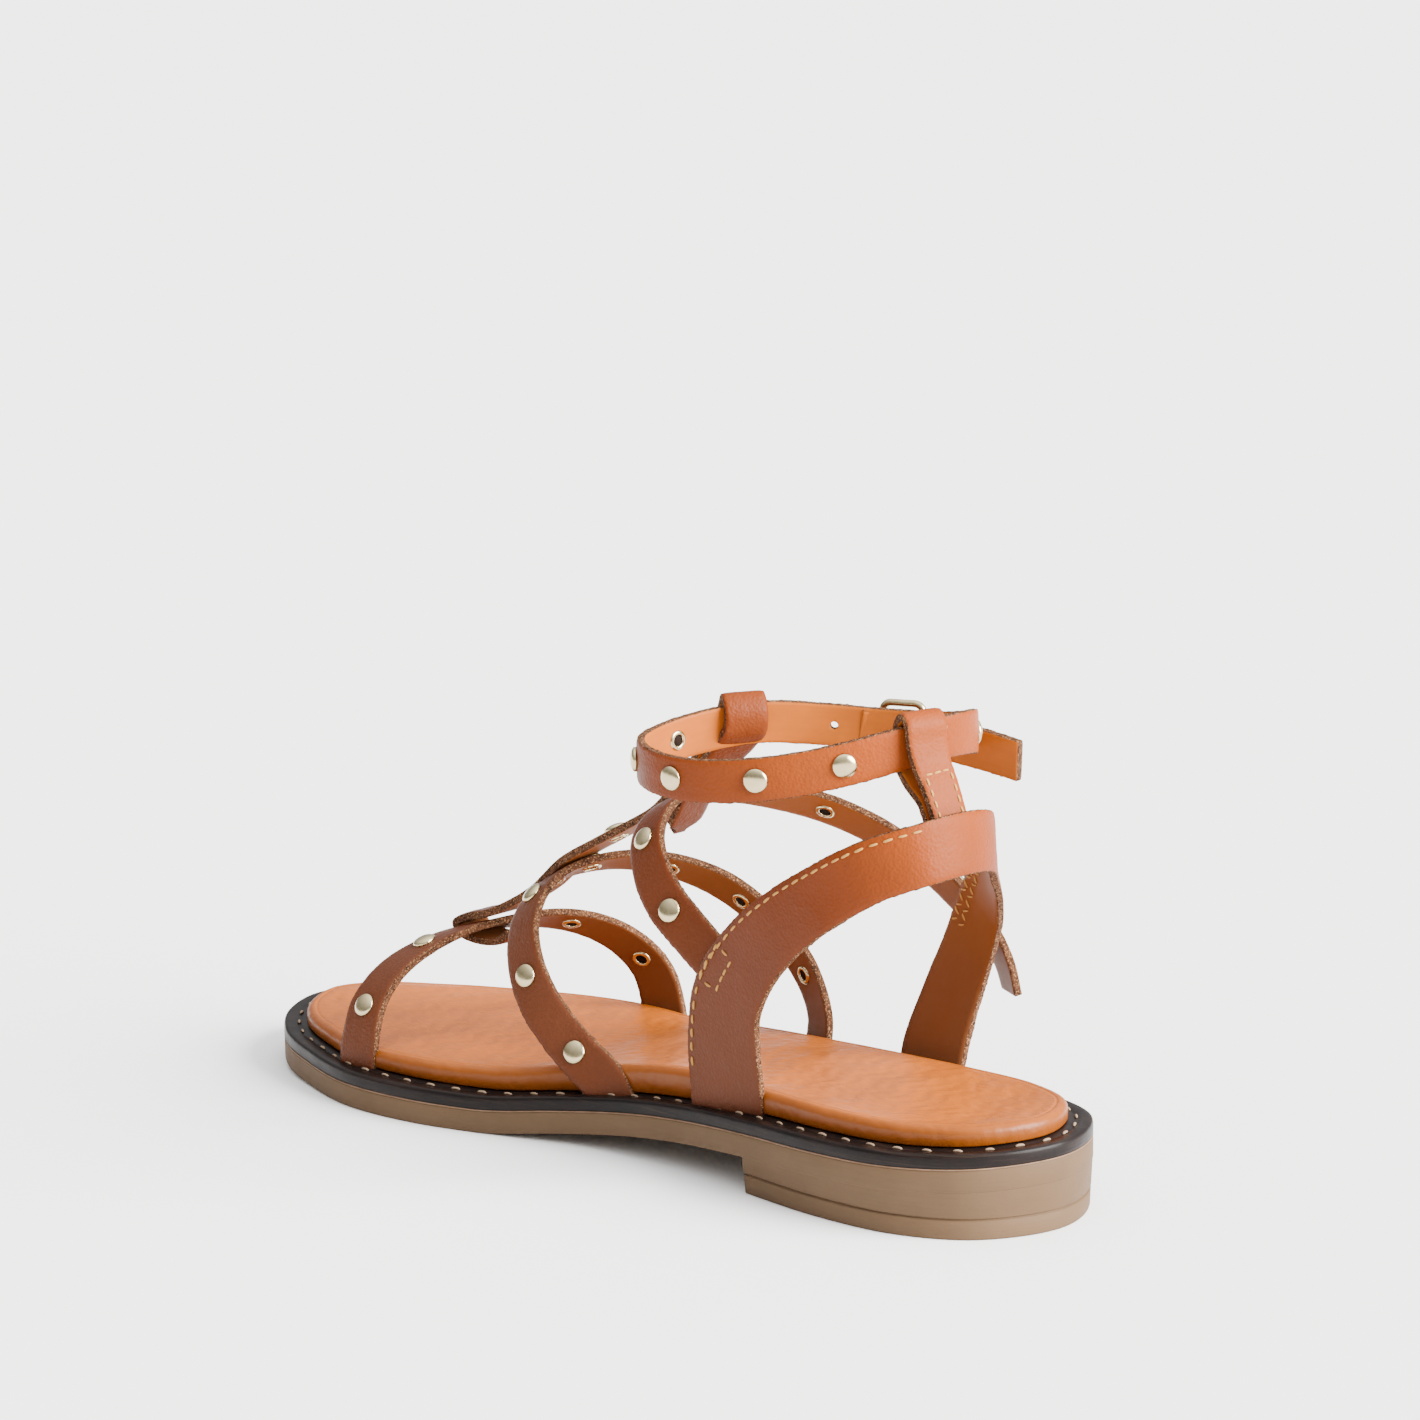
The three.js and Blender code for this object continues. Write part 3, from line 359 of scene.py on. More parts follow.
class SandalSettings(bpy.types.PropertyGroup):
    """Sizes and colours that a maker would change."""

    strap_width: length_setting("Strap width", "Width of the narrow straps", 10.8 * MM)
    ankle_width: length_setting(
        "Ankle strap width", "Width of the buckled ankle strap", 10.2 * MM
    )
    band_width: length_setting("Heel band width", "Width of the heel band at the sole", 21 * MM)
    leather: length_setting("Leather thickness", "Thickness of each strap", 2.0 * MM)
    stud_diameter: length_setting("Stud diameter", "Width of a stud's domed cap", 6.0 * MM)
    stitch_pitch: length_setting(
        "Stitch pitch", "Distance from one strap stitch to the next", 3.3 * MM
    )
    welt_stitch_pitch: length_setting(
        "Welt stitch pitch", "Distance from one welt stitch to the next", 7.5 * MM
    )
    grain_colour: colour_setting(
        "Grain side", "Colour of the straps' outer face", (0.125, 0.028, 0.0065)
    )
    inner_colour: colour_setting(
        "Inner side", "Colour of the straps' inner face", (0.26, 0.062, 0.0095)
    )
    footbed_colour: colour_setting(
        "Footbed", "Colour of the footbed's leather", (0.38, 0.092, 0.006)
    )
    rubber_colour: colour_setting(
        "Sole rubber", "Colour of the outsole and heel", (0.105, 0.063, 0.034)
    )
    thread_colour: colour_setting("Thread", "Colour of the stitches", (0.42, 0.21, 0.055))


# Reading tables and curves
def read_table(table, column, at):
    """A table's column between its rows, smooth and without overshoot."""
    keys, rows = table[0], table[1:]
    xs = np.array([r[0] for r in rows], float)
    ys = np.array([r[keys.index(column)] for r in rows], float)
    slopes = np.diff(ys) / np.diff(xs)
    tangent = np.zeros(len(xs))
    tangent[0], tangent[-1] = slopes[0], slopes[-1]
    for k in range(1, len(xs) - 1):
        a, b = slopes[k - 1], slopes[k]
        tangent[k] = 0 if a * b <= 0 else 2 * a * b / (a + b)
    x = np.clip(at, xs[0], xs[-1])
    i = np.clip(np.searchsorted(xs, x, side="right") - 1, 0, len(xs) - 2)
    h = xs[i + 1] - xs[i]
    u = (x - xs[i]) / h
    return (
        ys[i] * (1 + 2 * u) * (1 - u) ** 2
        + ys[i + 1] * u * u * (3 - 2 * u)
        + tangent[i] * h * u * (1 - u) ** 2
        + tangent[i + 1] * h * u * u * (u - 1)
    )


def smooth_curve(points, closed=False, steps=24):
    """Centripetal curve through points. Returns places and their row numbers."""
    p = np.asarray(points, float)
    if closed:
        q = np.vstack([p[-1], p, p[0], p[1]])
        spans = len(p)
    else:
        q = np.vstack([2 * p[0] - p[1], p, 2 * p[-1] - p[-2]])
        spans = len(p) - 1
    u = np.arange(steps) / steps
    out, rows = [], []
    for i in range(spans):
        p0, p1, p2, p3 = q[i : i + 4]
        d0, d1, d2 = (
            max(np.linalg.norm(b - a) ** 0.5, 1e-6) for a, b in ((p0, p1), (p1, p2), (p2, p3))
        )
        t1 = ((p1 - p0) / d0 - (p2 - p0) / (d0 + d1) + (p2 - p1) / d1) * d1
        t2 = ((p2 - p1) / d1 - (p3 - p1) / (d1 + d2) + (p3 - p2) / d2) * d1
        h = u[:, None]
        out.append(
            (2 * h**3 - 3 * h**2 + 1) * p1
            + (h**3 - 2 * h**2 + h) * t1
            + (3 * h**2 - 2 * h**3) * p2
            + (h**3 - h**2) * t2
        )
        rows.append(i + u)
    if not closed:
        out.append(p[-1:])
        rows.append(np.array([spans], float))
    return np.vstack(out), np.concatenate(rows)


def wavy(seed, count, scale, size):
    """Smooth random numbers in count steps, with bumps about scale steps long."""
    rng = np.random.default_rng(seed)
    knots = rng.normal(0, 1, int(count / scale) + 4)
    x = np.arange(count) / scale
    i = x.astype(int)
    f = x - i
    f = f * f * (3 - 2 * f)
    return size * (knots[i] * (1 - f) + knots[i + 1] * f)


# Meshes and objects
def new_piece(name, vertices, faces, materials, slots=None, uvs=None):
    """A closed mesh object at the origin, with its doubles merged and faces outward."""
    mesh = bpy.data.meshes.new(name)
    mesh.from_pydata([tuple(v) for v in vertices], [], [tuple(f) for f in faces])
    for m in materials:
        mesh.materials.append(m)
    if slots is not None:
        mesh.polygons.foreach_set("material_index", np.asarray(slots, np.int32))
    if uvs is not None:
        layer = mesh.uv_layers.new(name="UVMap")
        loops = np.zeros(len(mesh.loops), np.int32)
        mesh.loops.foreach_get("vertex_index", loops)
        layer.data.foreach_set("uv", np.asarray(uvs, np.float32)[loops].ravel())
    bm = bmesh.new()
    bm.from_mesh(mesh)
    bmesh.ops.remove_doubles(bm, verts=bm.verts, dist=1e-6)
    bmesh.ops.dissolve_degenerate(bm, edges=bm.edges, dist=1e-7)
    bmesh.ops.recalc_face_normals(bm, faces=bm.faces)
    bm.to_mesh(mesh)
    bm.free()
    mesh.polygons.foreach_set("use_smooth", np.full(len(mesh.polygons), True))
    mesh.update()
    piece = bpy.data.objects.new(name, mesh)
    bpy.context.scene.collection.objects.link(piece)
    return piece


def keep(piece, slot, *nodes):
    """Fixes a finished piece to the frame and hides the CAD nodes it stands for."""
    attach(piece, "root")
    if nodes:
        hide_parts(*nodes)


def grid_faces(rows, columns, closed_rows=False, closed_columns=False):
    """Quads over a grid of vertices numbered row by row."""
    faces = []
    for i in range(rows if closed_rows else rows - 1):
        a, b = i * columns, ((i + 1) % rows) * columns
        for j in range(columns if closed_columns else columns - 1):
            k = (j + 1) % columns
            faces.append((a + j, a + k, b + k, b + j))
    return faces


def bake(piece, modifier):
    """Makes a modifier's result the piece's own mesh."""
    bpy.context.view_layer.update()
    evaluated = piece.evaluated_get(bpy.context.evaluated_depsgraph_get())
    mesh = bpy.data.meshes.new_from_object(evaluated)
    piece.modifiers.remove(modifier)
    piece.data = mesh
    mesh.name = piece.name


def stamp_group():
    """Node group that puts one small piece on every point, turned to its surface."""
    found = bpy.data.node_groups.get("Stamp on points")
    if found:
        return found
    g = bpy.data.node_groups.new("Stamp on points", "GeometryNodeTree")
    sockets = (
        ("Points", "Geometry", None),
        ("Piece", "Object", None),
        ("Size", "Float", 1.0),
        ("Size variation", "Float", 0.0),
        ("Turn variation", "Float", 0.0),
        ("Seed", "Int", 3),
        ("Material", "Material", None),
    )
    for name, kind, value in sockets:
        socket = g.interface.new_socket(name, in_out="INPUT", socket_type="NodeSocket" + kind)
        if value is not None:
            socket.default_value = value
    g.interface.new_socket("Result", in_out="OUTPUT", socket_type="NodeSocketGeometry")
    given = g.nodes.new("NodeGroupInput").outputs

    def node(kind, *sources, **settings):
        """A node with its settings, fed from (input, output) pairs."""
        made = g.nodes.new(kind)
        for key, value in settings.items():
            setattr(made, key, value)
        for place, source in sources:
            g.links.new(source, made.inputs[place])
        return made

    def stored(name):
        made = node("GeometryNodeInputNamedAttribute", data_type="FLOAT_VECTOR")
        made.inputs["Name"].default_value = name
        return made.outputs["Attribute"]

    def between(low, high):
        made = node("FunctionNodeRandomValue", (2, low), (3, high), ("Seed", given["Seed"]))
        return made.outputs[1]

    info = node("GeometryNodeObjectInfo", ("Object", given["Piece"]), transform_space="ORIGINAL")
    up = node("FunctionNodeAlignRotationToVector", ("Vector", stored("out")), axis="Z")
    ahead = node(
        "FunctionNodeAlignRotationToVector",
        ("Rotation", up.outputs["Rotation"]),
        ("Vector", stored("along")),
        axis="X",
        pivot_axis="Z",
    )
    low, high = (
        node("ShaderNodeMath", (0, given["Size"]), (1, given["Size variation"]), operation=o)
        for o in ("SUBTRACT", "ADD")
    )
    size = between(low.outputs[0], high.outputs[0])
    minus = node("ShaderNodeMath", (0, given["Turn variation"]), operation="MULTIPLY")
    minus.inputs[1].default_value = -1.0
    spin = node(
        "ShaderNodeCombineXYZ", ("Z", between(minus.outputs[0], given["Turn variation"]))
    )
    spin_rotation = node("FunctionNodeEulerToRotation", (0, spin.outputs[0]))
    both = node(
        "FunctionNodeRotateRotation",
        ("Rotation", ahead.outputs["Rotation"]),
        ("Rotate By", spin_rotation.outputs[0]),
        rotation_space="LOCAL",
    )
    stamps = node(
        "GeometryNodeInstanceOnPoints",
        ("Points", given["Points"]),
        ("Instance", info.outputs["Geometry"]),
        ("Rotation", both.outputs["Rotation"]),
        ("Scale", size),
    )
    real = node("GeometryNodeRealizeInstances", ("Geometry", stamps.outputs["Instances"]))
    paint = node(
        "GeometryNodeSetMaterial",
        ("Geometry", real.outputs["Geometry"]),
        ("Material", given["Material"]),
    )
    node("NodeGroupOutput", ("Result", paint.outputs["Geometry"]))
    return g


def stamp(name, places, shape, material, vary=0.0, turn=0.0):
    """One mesh with shape stamped at each (point, out, along), made by the node group."""
    mesh = bpy.data.meshes.new(name)
    mesh.from_pydata([tuple(p) for p, _, _ in places], [], [])
    for key, k in (("out", 1), ("along", 2)):
        attribute = mesh.attributes.new(key, "FLOAT_VECTOR", "POINT")
        attribute.data.foreach_set("vector", np.array([p[k] for p in places], float).ravel())
    piece = bpy.data.objects.new(name, mesh)
    bpy.context.scene.collection.objects.link(piece)
    inputs = {
        "Piece": shape,
        "Size": 1.0,
        "Size variation": vary,
        "Turn variation": turn,
        "Seed": 3,
        "Material": material,
    }
    modifier = piece.modifiers.new("Nodes", "NODES")
    modifier.node_group = stamp_group()
    for item in modifier.node_group.interface.items_tree:
        if item.in_out == "INPUT" and item.name in inputs:
            modifier[item.identifier] = inputs[item.name]
    bake(piece, modifier)
    bpy.data.objects.remove(shape)
    for key in ("out", "along"):
        if key in piece.data.attributes:
            piece.data.attributes.remove(piece.data.attributes[key])
    piece.data.polygons.foreach_set("use_smooth", np.full(len(piece.data.polygons), True))
    return piece


def lathe(name, profile, sides):
    """A turned shape about +Z from (radius, height) pairs that start and end on the axis."""
    angles = np.arange(sides) * 2 * math.pi / sides
    vertices = [(r * math.cos(a), r * math.sin(a), z) for r, z in profile for a in angles]
    return new_piece(name, vertices, grid_faces(len(profile), sides, closed_columns=True), [])


# The sole's outline
def share_along(x):
    return (x - HEEL_BACK) / LENGTH


def outsole_under(x):
    s = share_along(x)
    lift = read_table(ARCH_LINE, "lift", s) * HEEL_LIFT
    return lift + read_table(ARCH_LINE, "spring", s) * TOE_SPRING


def welt_under(x):
    return outsole_under(x) + OUTSOLE_THICKNESS


def welt_top(x):
    return welt_under(x) + WELT_THICKNESS


def outline_curve():
    """The sole's outline as a fine closed line: points, inward directions and a flag for
    the inner side."""
    rows = SOLE_OUTLINE[1:]
    inner = [(HEEL_BACK + r[0] * LENGTH, r[1] * BALL_WIDTH, 0) for r in rows]
    outer = [(HEEL_BACK + r[0] * LENGTH, -r[2] * BALL_WIDTH, 0) for r in rows]
    points, at = smooth_curve(inner + outer[1:-1][::-1], closed=True, steps=40)
    tangent = np.roll(points, -1, 0) - np.roll(points, 1, 0)
    tangent /= np.linalg.norm(tangent, axis=1)[:, None]
    inward = np.stack([tangent[:, 1], -tangent[:, 0]], 1)
    return points[:, :2], inward, at <= len(rows) - 1


def outline_ring(stations=150, tip_steps=36):
    """Points round the sole in matched inner and outer pairs, so a surface can close on
    its middle line. Returns points, inward directions, middle points and side, which is 1
    on the inner side and -1 on the outer."""
    points, inward, is_inner = outline_curve()
    total = len(points)
    x = np.linspace(HEEL_BACK + 0.1 * LENGTH, HEEL_BACK + 0.92 * LENGTH, stations)

    def pick(chosen):
        line = points[chosen]
        order = np.argsort(line[:, 0], kind="stable")
        return [
            np.stack([np.interp(x, line[order, 0], v[order, k]) for k in (0, 1)], 1)
            for v in (line, inward[chosen])
        ]

    def arc(start, end):
        a, b = (int(np.argmin(np.linalg.norm(points - p, axis=1))) for p in (start, end))
        steps = np.linspace(0, (b - a) % total, tip_steps + 2)[1:-1]
        index = (a + np.round(steps).astype(int)) % total
        return points[index], inward[index]

    inner_p, inner_n = pick(is_inner)
    outer_p, outer_n = pick(~is_inner)
    toe_p, toe_n = arc(inner_p[-1], outer_p[-1])
    heel_p, heel_n = arc(outer_p[0], inner_p[0])
    ring = np.vstack([inner_p, toe_p, outer_p[::-1], heel_p])
    ins = np.vstack([inner_n, toe_n, outer_n[::-1], heel_n])
    ins /= np.linalg.norm(ins, axis=1)[:, None]
    middle = (inner_p + outer_p) / 2
    tips = [np.repeat(middle[k : k + 1], tip_steps, 0) for k in (stations - 1, 0)]
    middles = np.vstack([middle, tips[0], middle[::-1], tips[1]])
    across = np.linspace(1, -1, tip_steps)
    sides = np.concatenate([np.ones(stations), across, -np.ones(stations), -across])
    return ring, ins, middles, sides


def layer_mesh(rows, stations=150):
    """A closed sole layer. Each row is (inset, share to the middle, height function)."""
    ring, ins, middles, sides = outline_ring(stations)
    grid = []
    for inset, to_middle, height in rows:
        flat = ring + ins * inset
        flat = flat + (middles - flat) * to_middle
        z = height(flat[:, 0], flat[:, 1], to_middle, sides)
        grid.append(np.column_stack([flat, z]))
    return np.vstack(grid), grid_faces(len(rows), len(ring), closed_columns=True)


def over(surface, rise=0.0):
    """A layer's height as a rise over one of the sole's surfaces."""
    return lambda x, y, to_middle, side: surface(x) + rise


def sole_layer(name, stuff, rows, closed=True):
    """A layer of the sole. Each row is (inset, surface, rise) in mm, from the bottom up;
    a closed one has a floor and a roof."""
    rows = [(inset * MM, 0.0, over(surface, rise * MM)) for inset, surface, rise in rows]
    if closed:
        (low, _, floor), (high, _, roof) = rows[0], rows[-1]
        rows = [(low, 1.0, floor), *rows, (high, 1.0, roof)]
    return new_piece(name, *layer_mesh(rows), [stuff])


# Materials
def material(name):
    """A new material with its Principled shader, and short ways to add nodes to it."""
    m = bpy.data.materials.new(name)
    m.use_nodes = True
    return m, Nodes(m.node_tree)


def maths(tree, operation, a, b):
    """A Math node on two sockets or numbers."""
    node = tree.nodes.new("ShaderNodeMath")
    node.operation = operation
    for value, socket in ((a, 0), (b, 1)):
        if isinstance(value, bpy.types.NodeSocket):
            tree.links.new(value, node.inputs[socket])
        else:
            node.inputs[socket].default_value = value
    return node.outputs[0]


class Nodes:
    """Adds the few node kinds that the finishes are made of."""

    def __init__(self, tree):
        self.tree = tree
        self.shader = tree.nodes["Principled BSDF"]
        self.place = tree.nodes.new("ShaderNodeTexCoord").outputs["Object"]

    def link(self, a, b):
        self.tree.links.new(a, b)

    def uv(self):
        return self.tree.nodes.new("ShaderNodeTexCoord").outputs["UV"]

    def stretched(self, source, scale):
        node = self.tree.nodes.new("ShaderNodeMapping")
        node.inputs["Scale"].default_value = scale
        self.link(source, node.inputs["Vector"])
        return node.outputs[0]

    def noise(self, scale, detail=4, roughness=0.55, source=None, distortion=0):
        node = self.tree.nodes.new("ShaderNodeTexNoise")
        node.inputs["Scale"].default_value = scale
        node.inputs["Detail"].default_value = detail
        node.inputs["Roughness"].default_value = roughness
        node.inputs["Distortion"].default_value = distortion
        self.link(source or self.place, node.inputs["Vector"])
        return node.outputs["Fac"]

    def cells(self, scale, source=None, feature="F1"):
        node = self.tree.nodes.new("ShaderNodeTexVoronoi")
        node.feature = feature
        node.inputs["Scale"].default_value = scale
        self.link(source or self.place, node.inputs["Vector"])
        return node.outputs["Distance"]

    def ramp(self, source, stops):
        node = self.tree.nodes.new("ShaderNodeValToRGB")
        ramp = node.color_ramp
        while len(ramp.elements) < len(stops):
            ramp.elements.new(0.5)
        for element, (at, colour) in zip(ramp.elements, stops):
            element.position = at
            if not hasattr(colour, "__len__"):
                colour = (colour,) * 3
            element.color = (*colour, 1)
        self.link(source, node.inputs["Fac"])
        return node.outputs["Color"]

    def mix(self, factor, a, b):
        node = self.tree.nodes.new("ShaderNodeMix")
        node.data_type = "RGBA"
        for value, socket in ((factor, 0), (a, 6), (b, 7)):
            if isinstance(value, bpy.types.NodeSocket):
                self.link(value, node.inputs[socket])
            else:
                node.inputs[socket].default_value = (*value, 1)
        return node.outputs[2]

    def spread(self, source, low, high):
        node = self.tree.nodes.new("ShaderNodeMapRange")
        node.inputs["To Min"].default_value = low
        node.inputs["To Max"].default_value = high
        self.link(source, node.inputs["Value"])
        return node.outputs[0]

    def bump(self, source, strength, distance, under=None):
        node = self.tree.nodes.new("ShaderNodeBump")
        node.inputs["Strength"].default_value = strength
        node.inputs["Distance"].default_value = distance
        self.link(source, node.inputs["Height"])
        if under is not None:
            self.link(under, node.inputs["Normal"])
        return node.outputs[0]

    def painted_light_ramp(self, colour, light_rows, lean=0.0):
        """Painted light: one colour made lighter or darker with height above the floor, standing
        in for how the light falls; rows of (height, factors). Lean lowers the painted light
        towards the toe, in height per length."""
        place = self.split(self.place)
        forward = maths(self.tree, "MULTIPLY", place[0], lean)
        node = self.tree.nodes.new("ShaderNodeMapRange")
        node.inputs["From Max"].default_value = PAINTED_LIGHT_HEIGHT * MM
        self.link(maths(self.tree, "SUBTRACT", place[2], forward), node.inputs["Value"])
        rows = [(z / PAINTED_LIGHT_HEIGHT, [c * f for c, f in zip(colour, by)]) for z, by in light_rows]
        return self.ramp(node.outputs[0], rows)

    def split(self, source):
        node = self.tree.nodes.new("ShaderNodeSeparateXYZ")
        self.link(source, node.inputs[0])
        return node.outputs

    def finish(
        self, colour, roughness, normal=None, metallic=0.0, coat=0.0, coat_roughness=0.3, gloss=0.1
    ):
        for value, key in ((colour, "Base Color"), (roughness, "Roughness"), (normal, "Normal")):
            if isinstance(value, bpy.types.NodeSocket):
                self.link(value, self.shader.inputs[key])
            elif key == "Base Color":
                self.shader.inputs[key].default_value = (*value, 1)
            elif value is not None:
                self.shader.inputs[key].default_value = value
        self.shader.inputs["Metallic"].default_value = metallic
        if not metallic:
            self.shader.inputs["Specular IOR Level"].default_value = gloss
        self.shader.inputs["Coat Weight"].default_value = coat
        self.shader.inputs["Coat Roughness"].default_value = coat_roughness


def shade(colour, factor):
    return tuple(c * factor for c in colour)


def grain_leather(colour):
    """Waxed smooth leather: fine grain, faint clouding, painted light and sheen by height, softly
    varied gloss.
    """
    m, n = material("Grain leather")
    clouds = n.noise(45, 5, 0.6)
    fine = n.noise(900, 4, 0.6)
    # Painted light and sheen: lighter and warmer higher up, paler and bluer low down
    base = n.painted_light_ramp(colour, GRAIN_PAINTED_LIGHT, 0.5)
    base = n.mix(n.ramp(clouds, ((0.3, 0.3), (0.7, 0.0))), base, shade(colour, 0.6))
    base = n.mix(n.spread(fine, 0.0, 0.28), base, shade(colour, 0.7))
    pores = n.cells(1300)
    grain = n.bump(pores, 0.5, 0.2 * MM)
    grain = n.bump(n.noise(2200, 3, 0.6), 0.25, 0.12 * MM, grain)
    grain = n.bump(n.noise(300, 5, 0.65), 0.4, 0.5 * MM, grain)
    n.finish(base, n.spread(n.noise(120, 4), 0.40, 0.58), grain, coat=0.01, coat_roughness=0.35)
    return m


def inner_leather(colour):
    """The straps' smooth tan inner face, with soft streaks along the strap; painted shade low,
    painted light high.
    """
    m, n = material("Inner leather")
    clouds = n.noise(60, 5, 0.6)
    # Painted shade low down and painted light higher up, by height
    base = n.painted_light_ramp(colour, INNER_PAINTED_LIGHT)
    base = n.mix(n.ramp(clouds, ((0.3, 0.35), (0.7, 0.0))), base, shade(colour, 0.5))
    streaks = n.noise(1, 4, 0.6, n.stretched(n.uv(), (60, 900, 1)))
    base = n.mix(n.spread(streaks, 0.0, 0.35), base, shade(colour, 0.62))
    grain = n.bump(n.noise(1800, 4, 0.65), 0.2, 0.12 * MM)
    n.finish(base, n.spread(n.noise(150, 3), 0.42, 0.62), grain)
    return m


def cut_edge():
    """Raw cut leather: dark fibres with pale flecks."""
    m, n = material("Raw cut edge")
    fleck = n.noise(2300, 3, 0.75)
    blots = n.noise(700, 4, 0.7)
    dark, mid, pale = (0.02, 0.009, 0.005), (0.09, 0.035, 0.016), (0.36, 0.18, 0.085)
    base = n.ramp(blots, ((0.35, dark), (0.62, mid)))
    base = n.mix(n.ramp(fleck, ((0.53, 0.0), (0.66, 1.0))), base, pale)
    rough = n.bump(n.noise(2600, 3, 0.8), 0.8, 0.35 * MM)
    n.finish(base, 0.85, rough)
    return m


def footbed_leather(colour):
    """Soft waxed leather over padding: wrinkled grain, darker towards its edges."""
    m, n = material("Footbed leather")
    clouds = n.noise(22, 6, 0.6)
    pale, deep = shade(colour, 1.25), shade(colour, 0.78)
    base = n.ramp(clouds, ((0.3, deep), (0.55, colour), (0.78, pale)))
    near_edge = n.split(n.uv())[0]
    rim = n.ramp(near_edge, ((0.0, 0.0), (0.7, 0.1), (0.85, 0.45), (1.0, 0.85)))
    base = n.mix(rim, base, shade(colour, 0.36))
    wrinkle = n.cells(330, n.stretched(n.place, (1, 1.6, 1)), "SMOOTH_F1")
    grain = n.bump(wrinkle, 0.4, 0.5 * MM)
    grain = n.bump(n.noise(160, 5, 0.65, distortion=0.6), 0.28, 0.8 * MM, grain)
    grain = n.bump(n.noise(1900, 3, 0.6), 0.12, 0.1 * MM, grain)
    rough = n.spread(n.noise(90, 4), 0.30, 0.50)
    n.finish(base, rough, grain, coat=0.03, coat_roughness=0.28, gloss=0.2)
    return m


def welt_leather():
    """Near black burnished welt with scuffed lines along its side."""
    m, n = material("Welt leather")
    dark, mid = (0.003, 0.002, 0.002), (0.009, 0.005, 0.004)
    base = n.ramp(n.noise(90, 5, 0.65), ((0.3, dark), (0.75, mid)))
    lines = n.noise(1, 4, 0.6, n.stretched(n.place, (60, 60, 2200)))
    base = n.mix(n.ramp(lines, ((0.55, 0.0), (0.75, 0.45))), base, (0.04, 0.022, 0.015))
    grain = n.bump(lines, 0.25, 0.2 * MM)
    grain = n.bump(n.noise(1300, 3, 0.6), 0.2, 0.15 * MM, grain)
    rough = n.spread(n.noise(160, 4), 0.28, 0.5)
    n.finish(base, rough, grain, coat=0.02, coat_roughness=0.25, gloss=0.12)
    return m


def moulded_rubber(colour):
    """Matt moulded rubber with fine brushed lines round its side."""
    m, n = material("Moulded rubber")
    clouds = n.noise(35, 5, 0.6)
    base = n.ramp(clouds, ((0.3, shade(colour, 0.88)), (0.7, shade(colour, 1.1))))
    lines = n.noise(1, 5, 0.65, n.stretched(n.place, (35, 35, 1500)))
    base = n.mix(n.spread(lines, 0.0, 0.4), base, shade(colour, 0.66))
    grain = n.bump(lines, 0.3, 0.15 * MM)
    grain = n.bump(n.noise(1700, 3, 0.6), 0.16, 0.1 * MM, grain)
    n.finish(base, n.spread(n.noise(200, 4), 0.5, 0.68), grain)
    return m


def pale_brass():
    """Polished pale brass with faint handling marks."""
    m, n = material("Pale brass")
    base = n.ramp(n.noise(500, 3), ((0.3, (0.46, 0.38, 0.21)), (0.7, (0.54, 0.45, 0.26))))
    scratch = n.noise(1, 3, 0.6, n.stretched(n.place, (900, 250, 900)))
    normal = n.bump(scratch, 0.05, 0.05 * MM)
    n.finish(base, n.spread(n.noise(700, 3), 0.14, 0.3), normal, metallic=1.0)
    return m


def sewing_thread(colour, name="Sewing thread"):
    """Waxed thread with a fine twist."""
    m, n = material(name)
    base = n.mix(n.spread(n.noise(2500, 2), 0.0, 0.5), colour, shade(colour, 0.55))
    n.finish(base, 0.6, n.bump(n.noise(4000, 2), 0.4, 0.1 * MM))
    return m


def hole_shadow():
    """The dark inside of an eyelet."""
    m, n = material("Hole shadow")
    n.finish((0.012, 0.006, 0.004), 0.9)
    return m


def glue():
    """Dried glue between welt and sole."""
    m, n = material("Glue line")
    n.finish(n.ramp(n.noise(300, 3), ((0.3, (0.12, 0.07, 0.04)), (0.7, (0.18, 0.11, 0.07)))), 0.5)
    return m


# Straps
def route_points(table):
    """A route's points in metres."""
    rows = np.array(table[1:], float)
    return np.column_stack(
        [HEEL_BACK + rows[:, 0] * LENGTH, rows[:, 1] * BALL_WIDTH, rows[:, 2] * INSTEP_HEIGHT]
    )


def ankle_middle():
    return HEEL_BACK + ANKLE_CENTRE[0] * LENGTH, ANKLE_CENTRE[1] * BALL_WIDTH


def ankle_ring_points():
    """The ankle strap's middle line: a turned oval that rises and falls."""
    cx, cy = ankle_middle()
    turn = math.radians(ANKLE_RING_TURN)
    out = []
    for degrees, up in ANKLE_RING_HEIGHT[1:]:
        t = math.radians(degrees)
        u, v = ANKLE_RING_LONG / 2 * math.cos(t), ANKLE_RING_SHORT / 2 * math.sin(t)
        x = cx + u * math.cos(turn) - v * math.sin(turn)
        y = cy + u * math.sin(turn) + v * math.cos(turn)
        out.append((x, y, up * ANKLE_HEIGHT))
    return np.array(out)


def over_foot(share):
    """Outward for a strap that crosses the foot: away from the foot's own length."""

    def hint(points, tangents, lean):
        h = np.column_stack(
            [np.zeros(len(points)), points[:, 1], points[:, 2] - share * INSTEP_HEIGHT]
        )
        h[:, 0] = lean * np.linalg.norm(h, axis=1)
        return h

    return hint


def round_heel(points, tangents, lean):
    """Outward for the heel band: away from the heel's middle."""
    middle = np.maximum(points[:, 0], HEEL_BACK + 0.21 * LENGTH)
    flat = np.hypot(points[:, 0] - middle, points[:, 1])
    return np.column_stack([points[:, 0] - middle, points[:, 1], lean * flat])


def folded(points, tangents, twist):
    """Outward for a strap that folds over, from its turn about the upright."""
    angle = np.radians(twist)
    side = np.column_stack([np.sin(angle), np.cos(angle), np.zeros(len(points))])
    return np.cross(side, tangents)


def folded_back(points, tangents, twist):
    return -folded(points, tangents, twist)


def ring_out(points, tangents, lean):
    return np.column_stack([tangents[:, 1], -tangents[:, 0], np.zeros(len(points))])


def round_ankle(points, tangents, lean):
    cx, cy = ankle_middle()
    return np.column_stack([points[:, 0] - cx, points[:, 1] - cy, np.zeros(len(points))])


